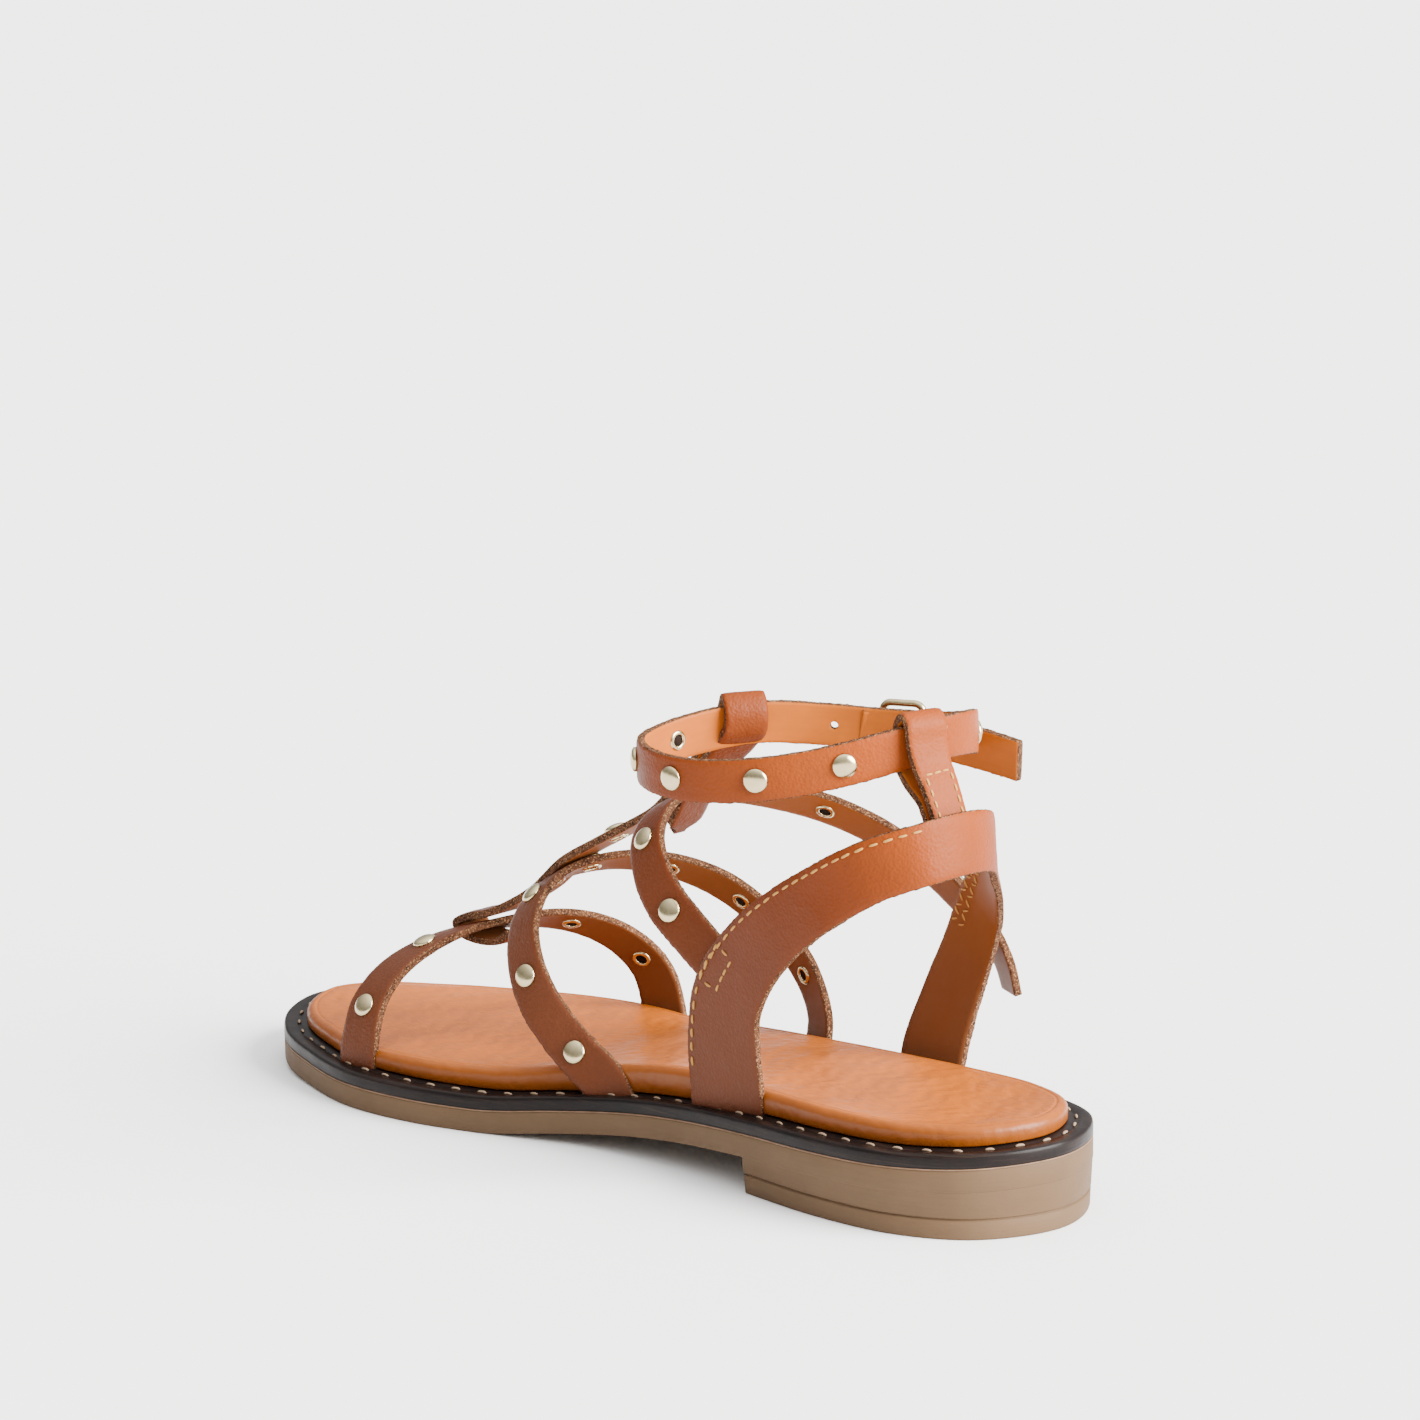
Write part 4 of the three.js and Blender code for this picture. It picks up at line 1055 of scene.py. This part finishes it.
class Strap:
    """A strap's middle line at even steps, with its directions and widths."""

    def __init__(self, table, width, outward, closed=False, points=None, step=0.55 * MM):
        rows = route_points(table) if points is None else points
        line, at = smooth_curve(rows, closed, 40)
        if closed:
            line, at = np.vstack([line, line[:1]]), np.append(at, len(rows))
        run = np.concatenate([[0], np.cumsum(np.linalg.norm(np.diff(line, axis=0), axis=1))])
        self.length, self.closed = run[-1], closed
        count = max(8, int(self.length / step))
        s = np.linspace(0, self.length, count + 1)
        if closed:
            s = s[:-1]
        self.s = s
        self.points = np.column_stack([np.interp(s, run, line[:, k]) for k in range(3)])
        at = np.interp(s, run, at)
        ahead = np.column_stack([np.interp(s + 0.4 * MM, run, line[:, k]) for k in range(3)])
        behind = np.column_stack([np.interp(s - 0.4 * MM, run, line[:, k]) for k in range(3)])
        if closed:
            ahead = np.roll(self.points, -1, 0)
            behind = np.roll(self.points, 1, 0)
        t = ahead - behind
        self.along = t / np.linalg.norm(t, axis=1)[:, None]

        def column(name, default):
            if table is None or name not in table[0]:
                return np.full(len(s), default)
            values = [r[table[0].index(name)] for r in table[1:]]
            return np.interp(at, np.arange(len(values)), values)

        hint = outward(self.points, self.along, column("lean", 0.0) + column("twist", 0.0))
        out = hint - self.along * np.sum(hint * self.along, axis=1)[:, None]
        self.out = out / np.linalg.norm(out, axis=1)[:, None]
        self.across = np.cross(self.along, self.out)
        self.width = width * column("wide", 1.0)

    def at(self, share):
        """Point, along, out, across and width at a share of the length."""
        i = int(round(share * (len(self.s) - (0 if self.closed else 1)))) % len(self.s)
        return self.points[i], self.along[i], self.out[i], self.across[i], self.width[i]


FACE_COLUMNS = 13
EDGE_COLUMNS = 5


def strap_mesh(name, strap, thickness, materials, seed, clip=0.0):
    """A leather strap: crowned grain side, flat inner side and frayed cut edges. Clip is
    the length over which its end is cut narrow."""
    count = len(strap.s)
    half = thickness / 2
    across = np.linspace(1, -1, FACE_COLUMNS)
    depth = np.linspace(1, -1, EDGE_COLUMNS + 2)[1:-1]
    width = strap.width / 2
    columns = []

    def face_column(a, first, j, b):
        edge = wavy(seed + first + j, count, 2, 0.03 * MM) if abs(a) == 1 else 0
        columns.append((a * width * 0.992 + edge, b))

    def edge_columns(side, first, depths):
        for k, d in enumerate(depths):
            fray = 0.10 * MM + wavy(seed + first + k, count, 1.3, 0.075 * MM)
            fray = fray + wavy(seed + first + 20 + k, count, 9, 0.04 * MM)
            columns.append((side * (width + fray), np.full(count, d * half)))

    # Outer face, rolled down a little where the knife pressed its edges
    roll = 0.16 * MM * np.clip((np.abs(across) - 0.82) / 0.18, 0, 1) ** 2
    waves = [wavy(seed + k, count, 26, 0.035 * MM) for k in range(4)]
    for j, a in enumerate(across):
        crown = 0.12 * MM * (1 - a * a)
        face_column(a, 50, j, half + crown - roll[j] + waves[j * 3 // FACE_COLUMNS])
    edge_columns(-1, 100, depth)
    for j, a in enumerate(across[::-1]):
        face_column(a, 150, j, np.full(count, -half))
    edge_columns(1, 200, depth[::-1])
    a = np.stack([c[0] for c in columns], 1)
    b = np.stack([c[1] for c in columns], 1)
    if clip:
        near_end = width[:, None] * np.clip((strap.length - strap.s) / clip, 0.35, 1)[:, None]
        a = np.clip(a, -near_end, near_end)
    grid = (
        strap.points[:, None, :]
        + strap.across[:, None, :] * a[:, :, None]
        + strap.out[:, None, :] * b[:, :, None]
    )
    total = len(columns)
    faces = grid_faces(count, total, closed_rows=strap.closed, closed_columns=True)
    # Grain, edge, inner face and edge again round the strap, as material slots
    inner_start = FACE_COLUMNS + EDGE_COLUMNS
    kinds = np.full(total, 2)
    kinds[: FACE_COLUMNS - 1] = 0
    kinds[inner_start : inner_start + FACE_COLUMNS - 1] = 1
    slots = list(np.tile(kinds, count if strap.closed else count - 1))
    uv = np.column_stack([np.repeat(strap.s, total), a.reshape(-1)])
    if not strap.closed:
        for end in (0, count - 1):
            faces.append(tuple(end * total + j for j in range(total)))
            slots.append(2)
    return new_piece(name, grid.reshape(-1, 3), faces, materials, slots, uv)


STRAPS = {}


def make_straps(settings):
    """Lays out every strap's line from its route."""
    w = settings.strap_width
    STRAPS.update(
        toe=Strap(TOE_ROUTE, w, over_foot(0.05)),
        forefoot=Strap(FOREFOOT_ROUTE, w, over_foot(0.12)),
        instep=Strap(INSTEP_ROUTE, w, over_foot(0.45)),
        heel=Strap(HEEL_BAND_ROUTE, settings.band_width, round_heel),
        centre=Strap(CENTRE_ROUTE, w, folded),
        rear=Strap(REAR_LOOP_ROUTE, w, folded_back),
        ankle=Strap(None, settings.ankle_width, ring_out, True, ankle_ring_points()),
        tail=Strap(ANKLE_TAIL_ROUTE, settings.ankle_width, round_ankle),
    )


def strap_leathers(settings):
    """Grain side, inner side and cut edge, made once."""
    found = [bpy.data.materials.get(k) for k in ("Grain leather", "Inner leather", "Raw cut edge")]
    if all(found):
        return found
    return [
        grain_leather(tuple(settings.grain_colour)),
        inner_leather(tuple(settings.inner_colour)),
        cut_edge(),
    ]


def heel_seat_line(x):
    return np.maximum(outsole_under(x) + 1.6 * MM, 6.2 * MM)


class SANDAL_OT_sole(bpy.types.Operator):
    """Build the moulded outsole with its heel block"""

    bl_idname = "sandal.sole"
    bl_label = "Sole"

    def execute(self, context):
        rubber = moulded_rubber(tuple(context.scene.sandal.rubber_colour))
        rows = [
            (0.5, outsole_under, 0),
            (0.15, outsole_under, 0.15),
            (0, outsole_under, 0.5),
            (0, welt_under, -0.6),
            (0.15, welt_under, -0.15),
            (0.5, welt_under, -0.05),
        ]
        keep(sole_layer("outsole", rubber, rows), "rubber", "outsole")

        def ground(x):
            return np.zeros(len(x))

        def top_lift(x):
            return np.full(len(x), TOP_LIFT)

        rows = [
            (1.4, ground, 0),
            (0.95, ground, 0.15),
            (HEEL_TAPER / MM, ground, 0.6),
            (0.6, top_lift, -0.35),
            (0.75, top_lift, -0.1),
            (1.1, top_lift, 0),
            (1.1, top_lift, 0.35),
            (0.7, top_lift, 0.45),
            (0.5, top_lift, 0.7),
            (0.05, heel_seat_line, 0),
            (0.05, outsole_under, 4.2),
            (0.6, outsole_under, 4.4),
        ]
        block = sole_layer("heel_block", rubber, rows)
        bm = bmesh.new()
        bm.from_mesh(block.data)
        cut = bmesh.ops.bisect_plane(
            bm,
            geom=bm.verts[:] + bm.edges[:] + bm.faces[:],
            plane_co=(HEEL_BREAST, 0, 0),
            plane_no=(1, 0, -0.05),
            clear_outer=True,
        )
        open_edges = [e for e in cut["geom_cut"] if isinstance(e, bmesh.types.BMEdge)]
        bmesh.ops.contextual_create(bm, geom=open_edges)
        bmesh.ops.recalc_face_normals(bm, faces=bm.faces)
        bm.to_mesh(block.data)
        bm.free()
        for p in block.data.polygons:
            if len(p.vertices) > 4:
                p.use_smooth = False
        keep(block, "rubber")
        return {"FINISHED"}


class SANDAL_OT_welt(bpy.types.Operator):
    """Build the dark welt, its glue line and its stitches"""

    bl_idname = "sandal.welt"
    bl_label = "Welt"

    def execute(self, context):
        rows = [
            (0.35, welt_under, 0.05),
            (0.05, welt_under, 0.3),
            (-0.05, welt_under, 1.1),
            (0, welt_top, -1.0),
            (0.12, welt_top, -0.4),
            (0.45, welt_top, -0.08),
            (0.95, welt_top, 0),
            (3.1, welt_top, 0),
            (3.6, welt_top, -0.28),
            (4.3, welt_top, -0.28),
            (4.8, welt_top, 0),
            (WELT_LEDGE / MM + 1, welt_top, 0),
        ]
        keep(sole_layer("welt", welt_leather(), rows), "welt_leather", "welt")
        section = ((0.6, -0.16), (-0.02, -0.16), (-0.02, 0.16), (0.6, 0.16), (0.6, -0.16))
        rows = [(inset, welt_under, rise) for inset, rise in section]
        keep(sole_layer("glue_line", glue(), rows, closed=False), "welt_leather")

        ring, ins, _, _ = outline_ring()
        path = ring + ins * WELT_STITCH_INSET
        closed = np.vstack([path, path[:1]])
        run = np.concatenate([[0], np.cumsum(np.linalg.norm(np.diff(closed, axis=0), axis=1))])
        steps = int(run[-1] / context.scene.sandal.welt_stitch_pitch)

        def on_welt(s):
            x, y = (np.interp(s, run, closed[:, k]) for k in (0, 1))
            return x, y, welt_top(x)

        places = []
        for i in range(steps):
            s = (i + 0.3) * run[-1] / steps
            x, y, z = on_welt(s)
            x1, y1, z1 = on_welt(s + 0.5 * MM)
            along = Vector((x1 - x, y1 - y, z1 - z)).normalized()
            places.append(((x, y, z - 0.12 * MM), Vector((0, 0, 1)), along))
        thread = sewing_thread((0.26, 0.18, 0.12), "Welt thread")
        keep(sew("welt_stitches", places, WELT_STITCH, thread), "welt_leather")
        return {"FINISHED"}


def stitch_shape(length, radius):
    """One stitch as a small arched bead of thread, lying along +X."""
    sides, steps = 8, 9
    vertices = []
    for i in range(steps):
        u = -1 + 2 * i / (steps - 1)
        r = radius * math.sqrt(max(0.0, 1 - abs(u) ** 3.2))
        for k in range(sides):
            a = 2 * math.pi * k / sides
            z = r * math.sin(a) * 0.85 + radius * 0.55 * (1 - u * u)
            vertices.append((u * length / 2, r * math.cos(a), z))
    faces = grid_faces(steps, sides, closed_columns=True)
    return new_piece("stitch", vertices, faces, [])


def sew(name, places, kind, thread):
    """All stitches of one kind, as one mesh."""
    length, radius, vary, turn = kind
    return stamp(name, places, stitch_shape(length, radius), thread, vary, turn)


class SANDAL_OT_footbed(bpy.types.Operator):
    """Build the padded footbed"""

    bl_idname = "sandal.footbed"
    bl_label = "Footbed"

    def execute(self, context):
        leather = footbed_leather(tuple(context.scene.sandal.footbed_colour))
        seat = 0.1 * MM
        r = FOOTBED_EDGE_RADIUS

        def rise(x, side):
            s = share_along(x)
            inner = read_table(FOOTBED_TOP, "inner", s)
            outer = read_table(FOOTBED_TOP, "outer", s)
            return outer + (inner - outer) * (side + 1) / 2

        def edge(drop):
            def height(x, y, to_middle, side):
                high = FOOTBED_THICKNESS * (1 + rise(x, side))
                return welt_top(x) + seat + high - drop * np.minimum(1, 0.72 * high / r)

            return height

        def base(up):
            return lambda x, y, to_middle, side: welt_top(x) + seat + up

        def top(x, y, to_middle, side):
            s = share_along(x)
            middle = read_table(FOOTBED_TOP, "middle", s)
            out = (1 - to_middle) ** 2.2
            level = 1 + rise(x, side) * out + middle * (1 - out)
            z = welt_top(x) + seat + FOOTBED_THICKNESS * level
            soft = 0.10 * MM * np.sin(x / MM * 0.35 + 1.3 * np.sin(y / MM * 0.21))
            fine = 0.05 * MM * np.sin(x / MM * 1.1 + 2 * np.sin(y / MM * 0.5 + 1))
            calm = min(1.0, to_middle * 6)
            return z + (soft + fine) * calm

        rows = [
            (WELT_LEDGE + 0.9 * MM, 1.0, base(0)),
            (WELT_LEDGE + 0.9 * MM, 0.0, base(0)),
            (WELT_LEDGE + 0.25 * MM, 0.0, base(0.2 * MM)),
            (WELT_LEDGE, 0.0, base(0.5 * MM)),
        ]
        for k in range(8):
            a = k / 8 * math.pi / 2
            rows.append((WELT_LEDGE + r * (1 - math.cos(a)), 0.0, edge(r * (1 - math.sin(a)))))
        rows.append((WELT_LEDGE + r, 0.0, top))
        # A pressed line just inside the edge
        for inset, depth in ((0.35, 0.02), (0.6, 0.18), (0.85, 0.02)):
            pressed = lambda *q, depth=depth: top(*q) - depth * MM
            rows.append((WELT_LEDGE + r + inset * MM, 0.0, pressed))
        for k in range(1, 35):
            rows.append((WELT_LEDGE + r + 0.9 * MM, k / 34, top))
        vertices, faces = layer_mesh(rows, stations=240)
        count = len(vertices) // len(rows)
        deep = np.array([inset + 30 * MM * to_middle for inset, to_middle, _ in rows])
        rim = np.clip(1 - (deep - WELT_LEDGE) / (9 * MM), 0, 1)
        uv = np.column_stack([np.repeat(rim, count), np.zeros(len(vertices))])
        pad = new_piece("footbed", vertices, faces, [leather], uvs=uv)
        keep(pad, "footbed_leather", "footbed")
        return {"FINISHED"}


class SANDAL_OT_straps(bpy.types.Operator):
    """Build the straps of the upper"""

    bl_idname = "sandal.straps"
    bl_label = "Straps"

    def execute(self, context):
        settings = context.scene.sandal
        make_straps(settings)
        leathers = strap_leathers(settings)
        order = ("toe", "forefoot", "instep", "heel", "centre", "rear")
        for seed, name in enumerate(order):
            clip = 3.5 * MM if name == "centre" else 0.0
            first = 11 + 300 * seed
            piece = strap_mesh(
                name + "_strap", STRAPS[name], settings.leather, leathers, first, clip=clip
            )
            keep(piece, "strap_leather", *(("upper",) if name == "toe" else ()))
        return {"FINISHED"}


def punch(piece, strap, shares, radius, stuff):
    """Cut round holes through a strap, lined with stuff."""
    reach = 3 * MM
    tool = lathe("punch_tool", [(0, -reach), (radius, -reach), (radius, reach), (0, reach)], 20)
    corners = np.array([v.co for v in tool.data.vertices])
    vertices, faces = [], []
    for share in shares:
        point, along, out, across, _ = strap.at(share)
        faces += [tuple(len(vertices) + i for i in f.vertices) for f in tool.data.polygons]
        vertices += list(point + corners @ np.array([along, across, out]))
    bpy.data.objects.remove(tool)
    cutter = new_piece("punch", vertices, faces, [stuff])
    cut = piece.modifiers.new("Punched holes", "BOOLEAN")
    cut.operation, cut.object, cut.solver = "DIFFERENCE", cutter, "EXACT"
    cut.material_mode = "TRANSFER"
    bake(piece, cut)
    bpy.data.objects.remove(cutter)


class SANDAL_OT_ankle_strap(bpy.types.Operator):
    """Build the ankle strap and its free end"""

    bl_idname = "sandal.ankle_strap"
    bl_label = "Ankle strap"

    def execute(self, context):
        settings = context.scene.sandal
        leathers = strap_leathers(settings)
        ring = strap_mesh("ankle_ring", STRAPS["ankle"], settings.leather, leathers, 2500)
        punch(ring, STRAPS["ankle"], PUNCHED_HOLES, HOLE_RADIUS, leathers[2])
        keep(ring, "strap_leather", "ankle_strap")
        tail = strap_mesh("ankle_tail", STRAPS["tail"], settings.leather, leathers, 2900)
        keep(tail, "strap_leather")
        return {"FINISHED"}


class SANDAL_OT_studs(bpy.types.Operator):
    """Set domed studs on the straps, with eyelet rings behind"""

    bl_idname = "sandal.studs"
    bl_label = "Studs"

    def execute(self, context):
        settings = context.scene.sandal
        brass = pale_brass()
        r = settings.stud_diameter / 2
        h = settings.leather / 2
        fronts, backs = [], []
        for name, shares in STUD_PLACES.items():
            for share in shares:
                point, along, out, _, _ = STRAPS[name].at(share)
                fronts.append((point + out * (h + 0.1 * MM), Vector(out), Vector(along)))
                backs.append((point - out * h, -Vector(out), Vector(along)))
        turns = np.linspace(0, 1.45, 9)
        arc = [(r * math.cos(a), 0.35 * MM + 1.15 * MM * math.sin(a)) for a in turns]
        cap = [(0, -0.4 * MM), (r * 0.93, -0.4 * MM), (r, 0.05 * MM), *arc, (0, 1.5 * MM)]
        stud = lathe("stud", cap, 40)
        nodes = sorted(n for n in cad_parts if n.startswith("stud_"))
        keep(stamp("studs", fronts, stud, brass), "brass", *nodes)
        o, i = 2.5 * MM, 1.4 * MM
        ring = [
            (i, -0.5 * MM),
            (o, -0.5 * MM),
            (o, 0.12 * MM),
            (o - 0.25 * MM, 0.4 * MM),
            (i + 0.3 * MM, 0.52 * MM),
            (i, 0.3 * MM),
            (i, -0.5 * MM),
        ]
        eyelet = lathe("eyelet", ring, 32)
        keep(stamp("eyelets", backs, eyelet, brass), "brass")
        # Painted shade: a dark disc in each eyelet's hole
        hole_shade_profile = [(0, -0.4 * MM), (i, -0.4 * MM), (i, 0.12 * MM), (0, 0.06 * MM)]
        hole_shade = lathe("eyelet_core", hole_shade_profile, 24)
        keep(stamp("eyelet_cores", backs, hole_shade, hole_shadow()), "strap_leather")
        return {"FINISHED"}


def stitch_row(strap, start, end, offset, pitch):
    """Places for a row of stitches along a strap. Offset gives, for the strap's width, the
    row's distance from its middle line."""
    places = []
    steps = max(1, int(round((end - start) * strap.length / pitch)))
    for k in range(steps):
        point, along, out, across, width = strap.at(start + (end - start) * (k + 0.5) / steps)
        spot = point + across * offset(width) + out * STITCH_LIFT
        places.append((spot, Vector(out), Vector(along)))
    return places


def wire(name, path, radius, closed, brass, sides):
    """A bent round wire along a path of points."""
    p = np.asarray(path, float)
    ahead, behind = np.roll(p, -1, 0), np.roll(p, 1, 0)
    if not closed:
        ahead[-1], behind[0] = p[-1], p[0]
    t = ahead - behind
    t /= np.linalg.norm(t, axis=1)[:, None]
    up = np.array([0.0, 0.0, 1.0])
    side = np.cross(t, up)
    side /= np.linalg.norm(side, axis=1)[:, None]
    rise = np.cross(side, t)
    angles = np.arange(sides) * 2 * math.pi / sides
    ring = side[:, None] * np.cos(angles)[:, None] + rise[:, None] * np.sin(angles)[:, None]
    grid = p[:, None] + ring * radius
    faces = grid_faces(len(p), sides, closed_rows=closed, closed_columns=True)
    if not closed:
        for end in (0, len(p) - 1):
            faces.append(tuple(end * sides + k for k in range(sides)))
    return new_piece(name, grid.reshape(-1, 3), faces, [brass])


def rounded_frame(long, wide, corner, steps=8):
    """Points of a rectangle with round corners, in a plane."""
    points = []
    for sx, sy, start in ((1, 1, 0), (-1, 1, 90), (-1, -1, 180), (1, -1, 270)):
        for k in range(steps + 1):
            a = math.radians(start + 90 * k / steps)
            x = sx * (long / 2 - corner) + corner * math.cos(a)
            y = sy * (wide / 2 - corner) + corner * math.sin(a)
            points.append((x, y, 0.0))
    return points


def place_on_strap(piece, strap, share, lift):
    """Bakes a flat piece onto a strap: its X along the strap and its Z outward."""
    point, along, out, _, _ = strap.at(share)
    turn = Matrix((along, np.cross(out, along), out)).transposed().to_4x4()
    piece.data.transform(Matrix.Translation(point + out * lift) @ turn)
    piece.data.update()


class SANDAL_OT_buckles(bpy.types.Operator):
    """Put the wire buckles with their prongs on the ankle and instep straps"""

    bl_idname = "sandal.buckles"
    bl_label = "Buckles"

    def execute(self, context):
        brass = bpy.data.materials.get("Pale brass") or pale_brass()
        half = BUCKLE_LENGTH / 2
        bar = [
            (-half - 1.2 * MM, 0, 0.1 * MM),
            (-half - 0.6 * MM, 0, 1.3 * MM),
            (-half / 2, 0, 1.25 * MM),
            (0, 0, 1.1 * MM),
            (half / 2, 0, 1.2 * MM),
            (half + 0.9 * MM, 0, 1.35 * MM),
        ]
        prong_path, _ = smooth_curve(bar, steps=6)
        ring = rounded_frame(BUCKLE_LENGTH, BUCKLE_WIDTH, BUCKLE_CORNER)
        for name, (share, lift) in BUCKLE_PLACES.items():
            buckle = wire(name + "_buckle", ring, BUCKLE_WIRE, True, brass, 14)
            place_on_strap(buckle, STRAPS[name], share, lift)
            keep(buckle, "brass", name + "_buckle")
            prong = wire(name + "_prong", prong_path, PRONG_WIRE, False, brass, 10)
            place_on_strap(prong, STRAPS[name], share, lift)
            keep(prong, "brass")
        return {"FINISHED"}


def box_rows(strap, start, end, low, high, pitch):
    """Stitches round a box sewn across a strap. Low and high are shares of its half width."""
    places = []
    for side in (low, high):
        places += stitch_row(strap, start, end, lambda w: side * w / 2, pitch)
    for share in (start, end):
        point, along, out, across, width = strap.at(share)
        span = (high - low) * width / 2
        count = max(1, int(round(span / pitch)))
        for k in range(count):
            a = low * width / 2 + span * (k + 0.5) / count
            spot = point + across * a + out * STITCH_LIFT
            places.append((spot, Vector(out), Vector(across)))
    return places


def zigzag_row(strap, start, end, offset, pitch):
    """A zigzag of stitches on the inner face, along a line at a share of the half width."""
    places = []
    steps = max(2, int(round((end - start) * strap.length / pitch)))
    for k in range(steps):
        point, along, out, across, width = strap.at(start + (end - start) * (k + 0.5) / steps)
        lean = along + across * (1 if k % 2 else -1) * 1.1
        spot = point + across * offset * width / 2 - out * STITCH_LIFT
        places.append((spot, -Vector(out), Vector(lean).normalized()))
    return places


class SANDAL_OT_strap_stitches(bpy.types.Operator):
    """Sew the stitch rows of the heel band and its joins"""

    bl_idname = "sandal.strap_stitches"
    bl_label = "Strap stitches"

    def execute(self, context):
        settings = context.scene.sandal
        thread = sewing_thread(tuple(settings.thread_colour))
        heel = STRAPS["heel"]
        side = -1 if heel.across[len(heel.s) // 4][2] < 0 else 1
        inset, pitch = 1.6 * MM, settings.stitch_pitch
        rows = stitch_row(heel, 0.06, 0.475, lambda w: side * (w / 2 - inset), pitch)
        keep(sew("band_stitches", rows, BAND_STITCH, thread), "strap_leather")

        # Boxes where the instep strap and the rear loop are sewn to the heel band
        short = pitch * 0.8
        boxes = box_rows(heel, 0.152, 0.195, side * 0.3, side * 0.88, short)
        boxes += box_rows(STRAPS["rear"], 0.06, 0.29, -0.72, 0.72, short)
        keep(sew("box_stitches", boxes, BOX_STITCH, thread), "strap_leather")

        # Zigzags inside the outer limb of the band
        zigzags = zigzag_row(heel, 0.71, 0.81, side * 0.815, short)
        zigzags += zigzag_row(heel, 0.71, 0.81, side * 0.48, short)
        keep(sew("zigzag_stitches", zigzags, ZIGZAG_STITCH, thread), "strap_leather")
        return {"FINISHED"}


def soft_sky(tree):
    """A white studio sky: bright overhead, dim at the horizon, brighter on the key side."""
    parts = tree.nodes.new("ShaderNodeSeparateXYZ")
    tree.links.new(tree.nodes.new("ShaderNodeTexCoord").outputs["Generated"], parts.inputs[0])
    x, y, z = parts.outputs
    high = maths(tree, "POWER", maths(tree, "MAXIMUM", z, 0.0), 2.0)
    overhead = maths(tree, "ADD", maths(tree, "MULTIPLY", high, SKY_TOP), SKY_RIM)
    right = maths(tree, "MULTIPLY", maths(tree, "ADD", x, y), -0.7)
    tilt = maths(tree, "ADD", maths(tree, "MULTIPLY", right, SKY_TILT), 1.0)
    background = tree.nodes["Background"]
    tree.links.new(maths(tree, "MULTIPLY", overhead, tilt), background.inputs["Strength"])
    background.inputs["Color"].default_value = (1, 1, 1, 1)


class SANDAL_OT_stage(bpy.types.Operator):
    """Set the pale floor, the soft lights and the camera"""

    bl_idname = "sandal.stage"
    bl_label = "Stage"

    def execute(self, context):
        m, n = material("Studio floor")
        n.finish((0.93, 0.93, 0.93), 0.9)
        mesh = bpy.data.meshes.new("floor")
        corners = [(sx * FLOOR_HALF, sy * FLOOR_HALF, 0) for sx, sy in FLOOR_CORNERS]
        mesh.from_pydata(corners, [], [(0, 1, 2, 3)])
        mesh.materials.append(m)
        floor = bpy.data.objects.new("floor", mesh)
        context.scene.collection.objects.link(floor)

        world = bpy.data.worlds.new("Studio")
        world.use_nodes = True
        soft_sky(world.node_tree)
        context.scene.world = world

        # The key comes from behind the heel, low and soft, as from a large window
        key = bpy.data.lights.new("key", "SUN")
        key.energy = KEY_STRENGTH
        key.angle = math.radians(KEY_SOFTNESS)
        key.color = (1.0, 0.985, 0.965)
        lamp = bpy.data.objects.new("key", key)
        lamp.rotation_euler = Vector(KEY_FROM).to_track_quat("Z", "Y").to_euler()
        context.scene.collection.objects.link(lamp)

        camera = bpy.data.cameras.new("camera")
        camera.sensor_width = CAMERA_SENSOR
        camera.lens = CAMERA_LENS
        camera.clip_start, camera.clip_end = 0.05, 60
        eye = bpy.data.objects.new("camera", camera)
        azimuth, elevation, roll = (
            math.radians(a) for a in (CAMERA_AZIMUTH, CAMERA_ELEVATION, CAMERA_ROLL)
        )
        flat = math.cos(elevation)
        ahead = Vector(
            (flat * math.cos(azimuth), flat * math.sin(azimuth), -math.sin(elevation))
        )
        right = ahead.cross(Vector((0, 0, 1))).normalized()
        up = right.cross(ahead)
        rolled_right = right * math.cos(roll) + up * math.sin(roll)
        rolled_up = up * math.cos(roll) - right * math.sin(roll)
        turn = Matrix((rolled_right, rolled_up, -ahead)).transposed()
        eye.matrix_world = Matrix.Translation(CAMERA_PLACE) @ turn.to_4x4()
        context.scene.collection.objects.link(eye)
        context.scene.camera = eye
        return {"FINISHED"}


class SANDAL_PT_panel(bpy.types.Panel):
    """Lists the sandal's pieces in build order"""

    bl_label = "Studded sandal"
    bl_idname = "SANDAL_PT_panel"
    bl_space_type = "VIEW_3D"
    bl_region_type = "UI"
    bl_category = "Sandal"

    def draw(self, context):
        for operator in OPERATORS:
            self.layout.operator(operator.bl_idname)
        for name in SandalSettings.__annotations__:
            self.layout.prop(context.scene.sandal, name)


OPERATORS = (
    SANDAL_OT_sole,
    SANDAL_OT_welt,
    SANDAL_OT_footbed,
    SANDAL_OT_straps,
    SANDAL_OT_ankle_strap,
    SANDAL_OT_studs,
    SANDAL_OT_buckles,
    SANDAL_OT_strap_stitches,
    SANDAL_OT_stage,
)


def register():
    bpy.utils.register_class(SandalSettings)
    bpy.types.Scene.sandal = bpy.props.PointerProperty(type=SandalSettings)
    for operator in OPERATORS:
        bpy.utils.register_class(operator)
    bpy.utils.register_class(SANDAL_PT_panel)


def unregister():
    bpy.utils.unregister_class(SANDAL_PT_panel)
    for operator in reversed(OPERATORS):
        bpy.utils.unregister_class(operator)
    del bpy.types.Scene.sandal
    bpy.utils.unregister_class(SandalSettings)


def main():
    register()
    bpy.ops.sandal.sole()
    bpy.ops.sandal.welt()
    bpy.ops.sandal.footbed()
    bpy.ops.sandal.straps()
    bpy.ops.sandal.ankle_strap()
    bpy.ops.sandal.studs()
    bpy.ops.sandal.buckles()
    bpy.ops.sandal.strap_stitches()
    bpy.ops.sandal.stage()


if __name__ == "__main__":
    main()
